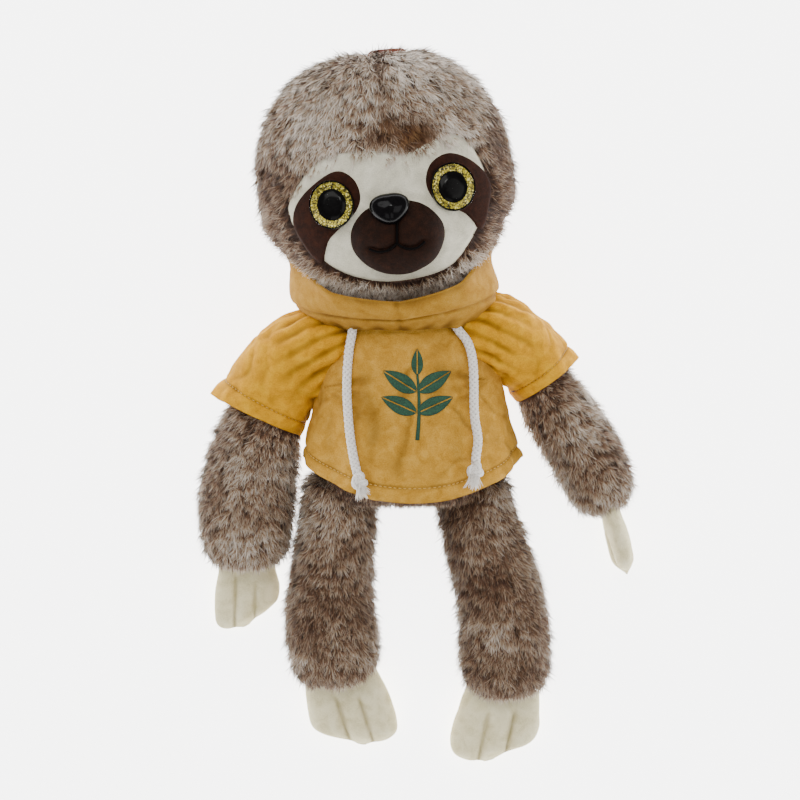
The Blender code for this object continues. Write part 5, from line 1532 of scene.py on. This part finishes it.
def dress_head(backing, cloths):
    """How the head's fur lies: bare on the face, combed down from the crown, brown at the brow."""
    places, ways = places_of(backing), ways_of(backing)
    local = in_head(places)
    x, y, z = local.T
    within, edge = inside_outline(local, FACE_OUTLINE)
    front = z > 0
    bare = within & front & (edge > 0.0030)
    chin = smooth_step(-0.040, -0.054, y) * front
    side = np.tanh((x - 0.0045) / 0.012)
    cheek = smooth_step(0.012, -0.012, y) * smooth_step(0.030, 0.050, np.abs(x))
    flow = np.stack([0.35 * side + 0.9 * cheek * side, -1.0 + 0.55 * cheek, 0.0 * x - 0.2 * cheek], 1)
    flow = flow @ np.array(HEAD.inverted())[:3, :3]
    near_face = front * smooth_step(0.012, 0.0, edge)
    set_layer(backing.data, "comb", over_skin(flow, ways) * (1.05 - 0.2 * near_face - 0.7 * chin)[:, None])
    set_layer(backing.data, "lift", 0.46 + 0.50 * near_face + 0.3 * chin)
    clear = near_cloth(places, ways, cloths, 0.001, 0.007)
    set_layer(backing.data, "long", (1.0 - 0.08 * near_face - 0.25 * chin) * (0.60 + 0.40 * clear))
    # Darker at the head's lower sides: partly the fur's own tone, partly painted shade. Darker near the
    # face's edge below the brow. Lighter at the chin: painted light over the shade between face and collar.
    sides = smooth_step(0.040, 0.064, np.abs(x - 0.002)) * smooth_step(0.045, 0.010, y)
    light = -0.02 - 0.24 * sides - 0.14 * near_face * smooth_step(0.030, 0.0, y) + 0.26 * chin
    # Darker towards the toy's left side: painted shade
    light -= 0.14 * smooth_step(0.034, 0.060, x) * smooth_step(0.045, 0.010, y)
    # Lighter where the skin faces sideways or down, as on the crown: painted light
    set_layer(backing.data, "light", light + 0.10 * smooth_step(0.45, 0.0, ways[:, 2]))
    tuft = bell(x, 0.0156, 0.0100) * bell(y, 0.0190, 0.0080)
    tuft += 0.8 * bell(x, -0.0010, 0.0035) * bell(y, 0.0212, 0.0045)
    seam = bell(x, 0.0045, 0.0018) * smooth_step(0.015, 0.028, y) * smooth_step(-0.01, 0.01, z)
    set_layer(backing.data, "brown", np.clip((2.2 * tuft + 0.95 * seam) * front, 0, 1))
    thick = np.where(bare, 0.0, 1.0) * near_cloth(places, ways, cloths, 0.0002, 0.0014)
    low, high = (np.array(v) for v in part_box("crown_tab"))
    over = (np.abs(places[:, 0] - (low[0] + high[0]) / 2) < (high[0] - low[0]) / 2)
    over &= np.abs(places[:, 2] - (low[2] + high[2]) / 2 - RIBBON_FORWARD) < RIBBON_WIDTH
    over &= places[:, 1] > low[1] - 0.02
    thick = thick * np.where(over, 0.0, 1.0)
    backwards = smooth_step(-0.006, -0.014, z)
    left = smooth_step(-0.002, 0.006, x)
    return {
        "crown_fur_back_left": thick * backwards * left,
        "face_side_fur_left": thick * (1 - backwards) * left,
        "face_side_fur_right": thick * (1 - backwards) * (1 - left),
        "crown_fur_back_right": thick * backwards * (1 - left),
    }


def dress_limb(backing, path, cloths, solids, light):
    """How a limb's fur lies: combed along it, thinned out under the cloth and at the mitt."""
    places, ways = places_of(backing), ways_of(backing)
    line = np.array(path)[:, :3]
    fine = curve_through(line, 60)
    along = unit(np.gradient(fine, axis=0))
    nearest = np.argmin(np.linalg.norm(places[:, None, :] - fine[None], axis=2), axis=1)
    set_layer(backing.data, "comb", over_skin(along[nearest] + 0.25 * ways * (1, 1, 0), ways) * 0.85)
    set_layer(backing.data, "lift", np.full(len(places), 0.80))
    clear = near_cloth(places, ways, cloths, 0.002, 0.010)
    set_layer(backing.data, "long", 0.45 + 0.55 * clear)
    set_layer(backing.data, "brown", np.zeros(len(places)))
    # Lighter where the skin faces sideways or down: painted light; the given offset is painted shade
    set_layer(backing.data, "light", light + 0.20 * smooth_step(0.60, 0.05, ways[:, 2]))
    thick = near_cloth(places, ways, cloths, 0.0006, 0.0030)
    for solid in solids:
        for i, place in enumerate(places):
            near, way, _, _ = solid.find_nearest(Vector(place))
            if (Vector(place) - near).dot(way) < 0:
                thick[i] = 0.0
    return thick * np.where(ways[:, 2] < -0.8, 0.6, 1.0)


def finish_piece(made, body, slot, *nodes):
    """Puts a piece on its body, in place of the solids it stands for. Its slot is not used."""
    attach(made, body)
    if nodes:
        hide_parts(*nodes)


make_camera()
make_stage()

for side in ("left", "right"):
    cord, path, length = make_drawstring(side)
    knot = make_knot(side, path)
    finish_piece(cord, "torso", "cotton_cord", "drawstring_" + side)
    finish_piece(knot, "torso", "cotton_cord", "knot_" + side)

# The head, its face and what is set in it
head = smoothed_form("head_backing", head_rings(), BACKING)
face_form = tree_of(head)
panel = face_sheet("face_panel_velour", FACE_OUTLINE, face_form, panel_height, FACE_VELOUR)
finish_piece(panel, "head", "face_velour", "face_panel")
for side, outline in PATCH_OUTLINES.items():
    patch = face_sheet("eye_patch_velour_" + side, outline, face_form, patch_height, DARK_VELOUR)
    finish_piece(patch, "head", "dark_velour", "eye_patch_" + side)
    cup, glitter, lens = make_eye(side)
    finish_piece(cup, "head", "black_plastic", "eye_cup_" + side)
    finish_piece(glitter, "head", "glitter", "eye_glitter_" + side)
    finish_piece(lens, "head", "clear_plastic", "eye_dome_" + side)
muzzle = make_muzzle()
finish_piece(muzzle, "head", "dark_velour", "muzzle_skin", "muzzle_filling")
finish_piece(make_mouth(), "head", "thread", "mouth_stitch")
finish_piece(make_nose(), "head", "black_plastic", "nose")
head.data.transform(HEAD)
sink(head, BACKING_DEPTH)
narrow_jaw(head)
head_surface = tree_of(head)
finish_piece(make_crown_ribbon(head_surface), "head", "ribbon", "crown_tab")

# The top
top, top_rows = make_top_body()
finish_piece(top, "torso", "top_velour", "top_body")
collar, collar_rows = make_collar(head_surface)
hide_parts("hood_collar")
top_tree, collar_tree = tree_of(top), tree_of(collar)
print_piece = make_print(top_tree)
finish_piece(print_piece, "torso", "print_ink", "chest_print")
stitches = stitch_tree()
row = top_rows[round((1 - TOP_HEM_SHARE) * (len(top_rows) - 1))]
hem = make_stitch_row("hem_stitches_body", [tuple(p) for p in row[3:168]], 62, stitches)
finish_piece(hem, "torso", "thread")
sleeve_trees = {}
for side in ("left", "right"):
    sleeve, rows = make_sleeve(side)
    sleeve_trees[side] = tree_of(sleeve)
    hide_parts("sleeve_" + side)
    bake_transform(sleeve)
    row = rows[round(SLEEVE_SEAM_SHARE * (len(rows) - 1))]
    hem = make_stitch_row(f"hem_stitches_sleeve_{side}", [tuple(p) for p in row[::2]], 58, stitches)
    finish_piece(hem, "arm_" + side, "thread")

# Fur
STRAND, FUR_TREE = make_strand(), fur_tree()
for number, (name, thick) in enumerate(dress_head(head, [collar_tree]).items()):
    pelt = grow_fur(name, head, number, HEAD_STRAND_LENGTH, thick)
    finish_piece(pelt, "head", "fur")
finish_piece(head, "head", "fur", "head_skin", "head_filling")
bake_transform(collar)

torso = smoothed_form("torso_backing", torso_rings(), BACKING)
sink(torso, BACKING_DEPTH)
tucked = places_of(torso)
tucked[:, 1] = np.maximum(tucked[:, 1], TORSO_TUCK_Y)
put_places(torso, tucked)
torso_line = [(0, y, TORSO_MID_Z) for y in (TORSO_TOP_Y, 0, TORSO_SEAT_Y)]
thick = dress_limb(torso, torso_line, [top_tree, collar_tree], [], TORSO_PAINTED_SHADE)
pelt = grow_fur("torso_fur", torso, 20, TORSO_STRAND_LENGTH, thick, TORSO_STRANDS_PER_M2)
finish_piece(pelt, "torso", "fur")
finish_piece(torso, "torso", "fur", "torso_skin", "torso_filling")

number = 30
for limb, end, every, hinges, size in (
    ("arm", "hand", ARM_PLACES, HAND_HINGES, HAND_SIZE),
    ("leg", "foot", LEG_PLACES, FOOT_HINGES, FOOT_SIZE),
):
    for side in ("left", "right"):
        grooves, slant = MITT_CUTS[f"{end}_{side}"]
        mitt = make_mitt(f"{end}_mitt_{side}", hinges[side], size, grooves, slant, number)
        finish_piece(mitt, f"{end}_{side}", "claw_velour", f"{end}_{side}")
        line = list(every[side])
        if limb == "leg":
            line.insert(0, (line[0][0], line[0][1] + LEG_TUCK, *line[0][2:]))
        backing = smoothed_form(f"{limb}_backing_{side}", limb_rings(line), BACKING)
        sink(backing, LIMB_BACKING_DEPTH)
        cloths = [sleeve_trees[side]] if limb == "arm" else [top_tree]
        thick = dress_limb(backing, line, cloths, [tree_of(mitt)], LIMB_PAINTED_SHADE[limb])
        pelt = grow_fur(f"{limb}_fur_{side}", backing, number, LIMB_STRAND_LENGTH, thick)
        finish_piece(pelt, f"{limb}_{side}", "fur")
        finish_piece(backing, f"{limb}_{side}", "fur", f"{limb}_skin_{side}", f"{limb}_filling_{side}")
        number += 1
bpy.data.objects.remove(STRAND)

# The wad in the neck seam, and the nylon washers inside the head
NYLON = two_tone("moulded_nylon", "dcd9cf", "efede6", 1.5, 0.4, 0.05)[0]
NECK_PLACE, NECK_RADIUS = (-0.003, 0.065, 0.046), 0.0190
line = [
    (NECK_PLACE[0], NECK_PLACE[1] + NECK_RADIUS * math.cos(a), NECK_PLACE[2])
    for a in np.linspace(0.05, 3.09, 20)
]
rows = rings_along(line, lambda s, a: np.full(len(a), NECK_RADIUS * math.sin(0.05 + 3.04 * s)), 32)
neck = tube("neck_wad", rows, BACKING, (True, True))
finish_piece(neck, "neck", "filling", "neck_filling")
for node in ("nose_washer", "eye_washer_left", "eye_washer_right"):
    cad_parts[node].data.materials.clear()
    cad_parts[node].data.materials.append(NYLON)
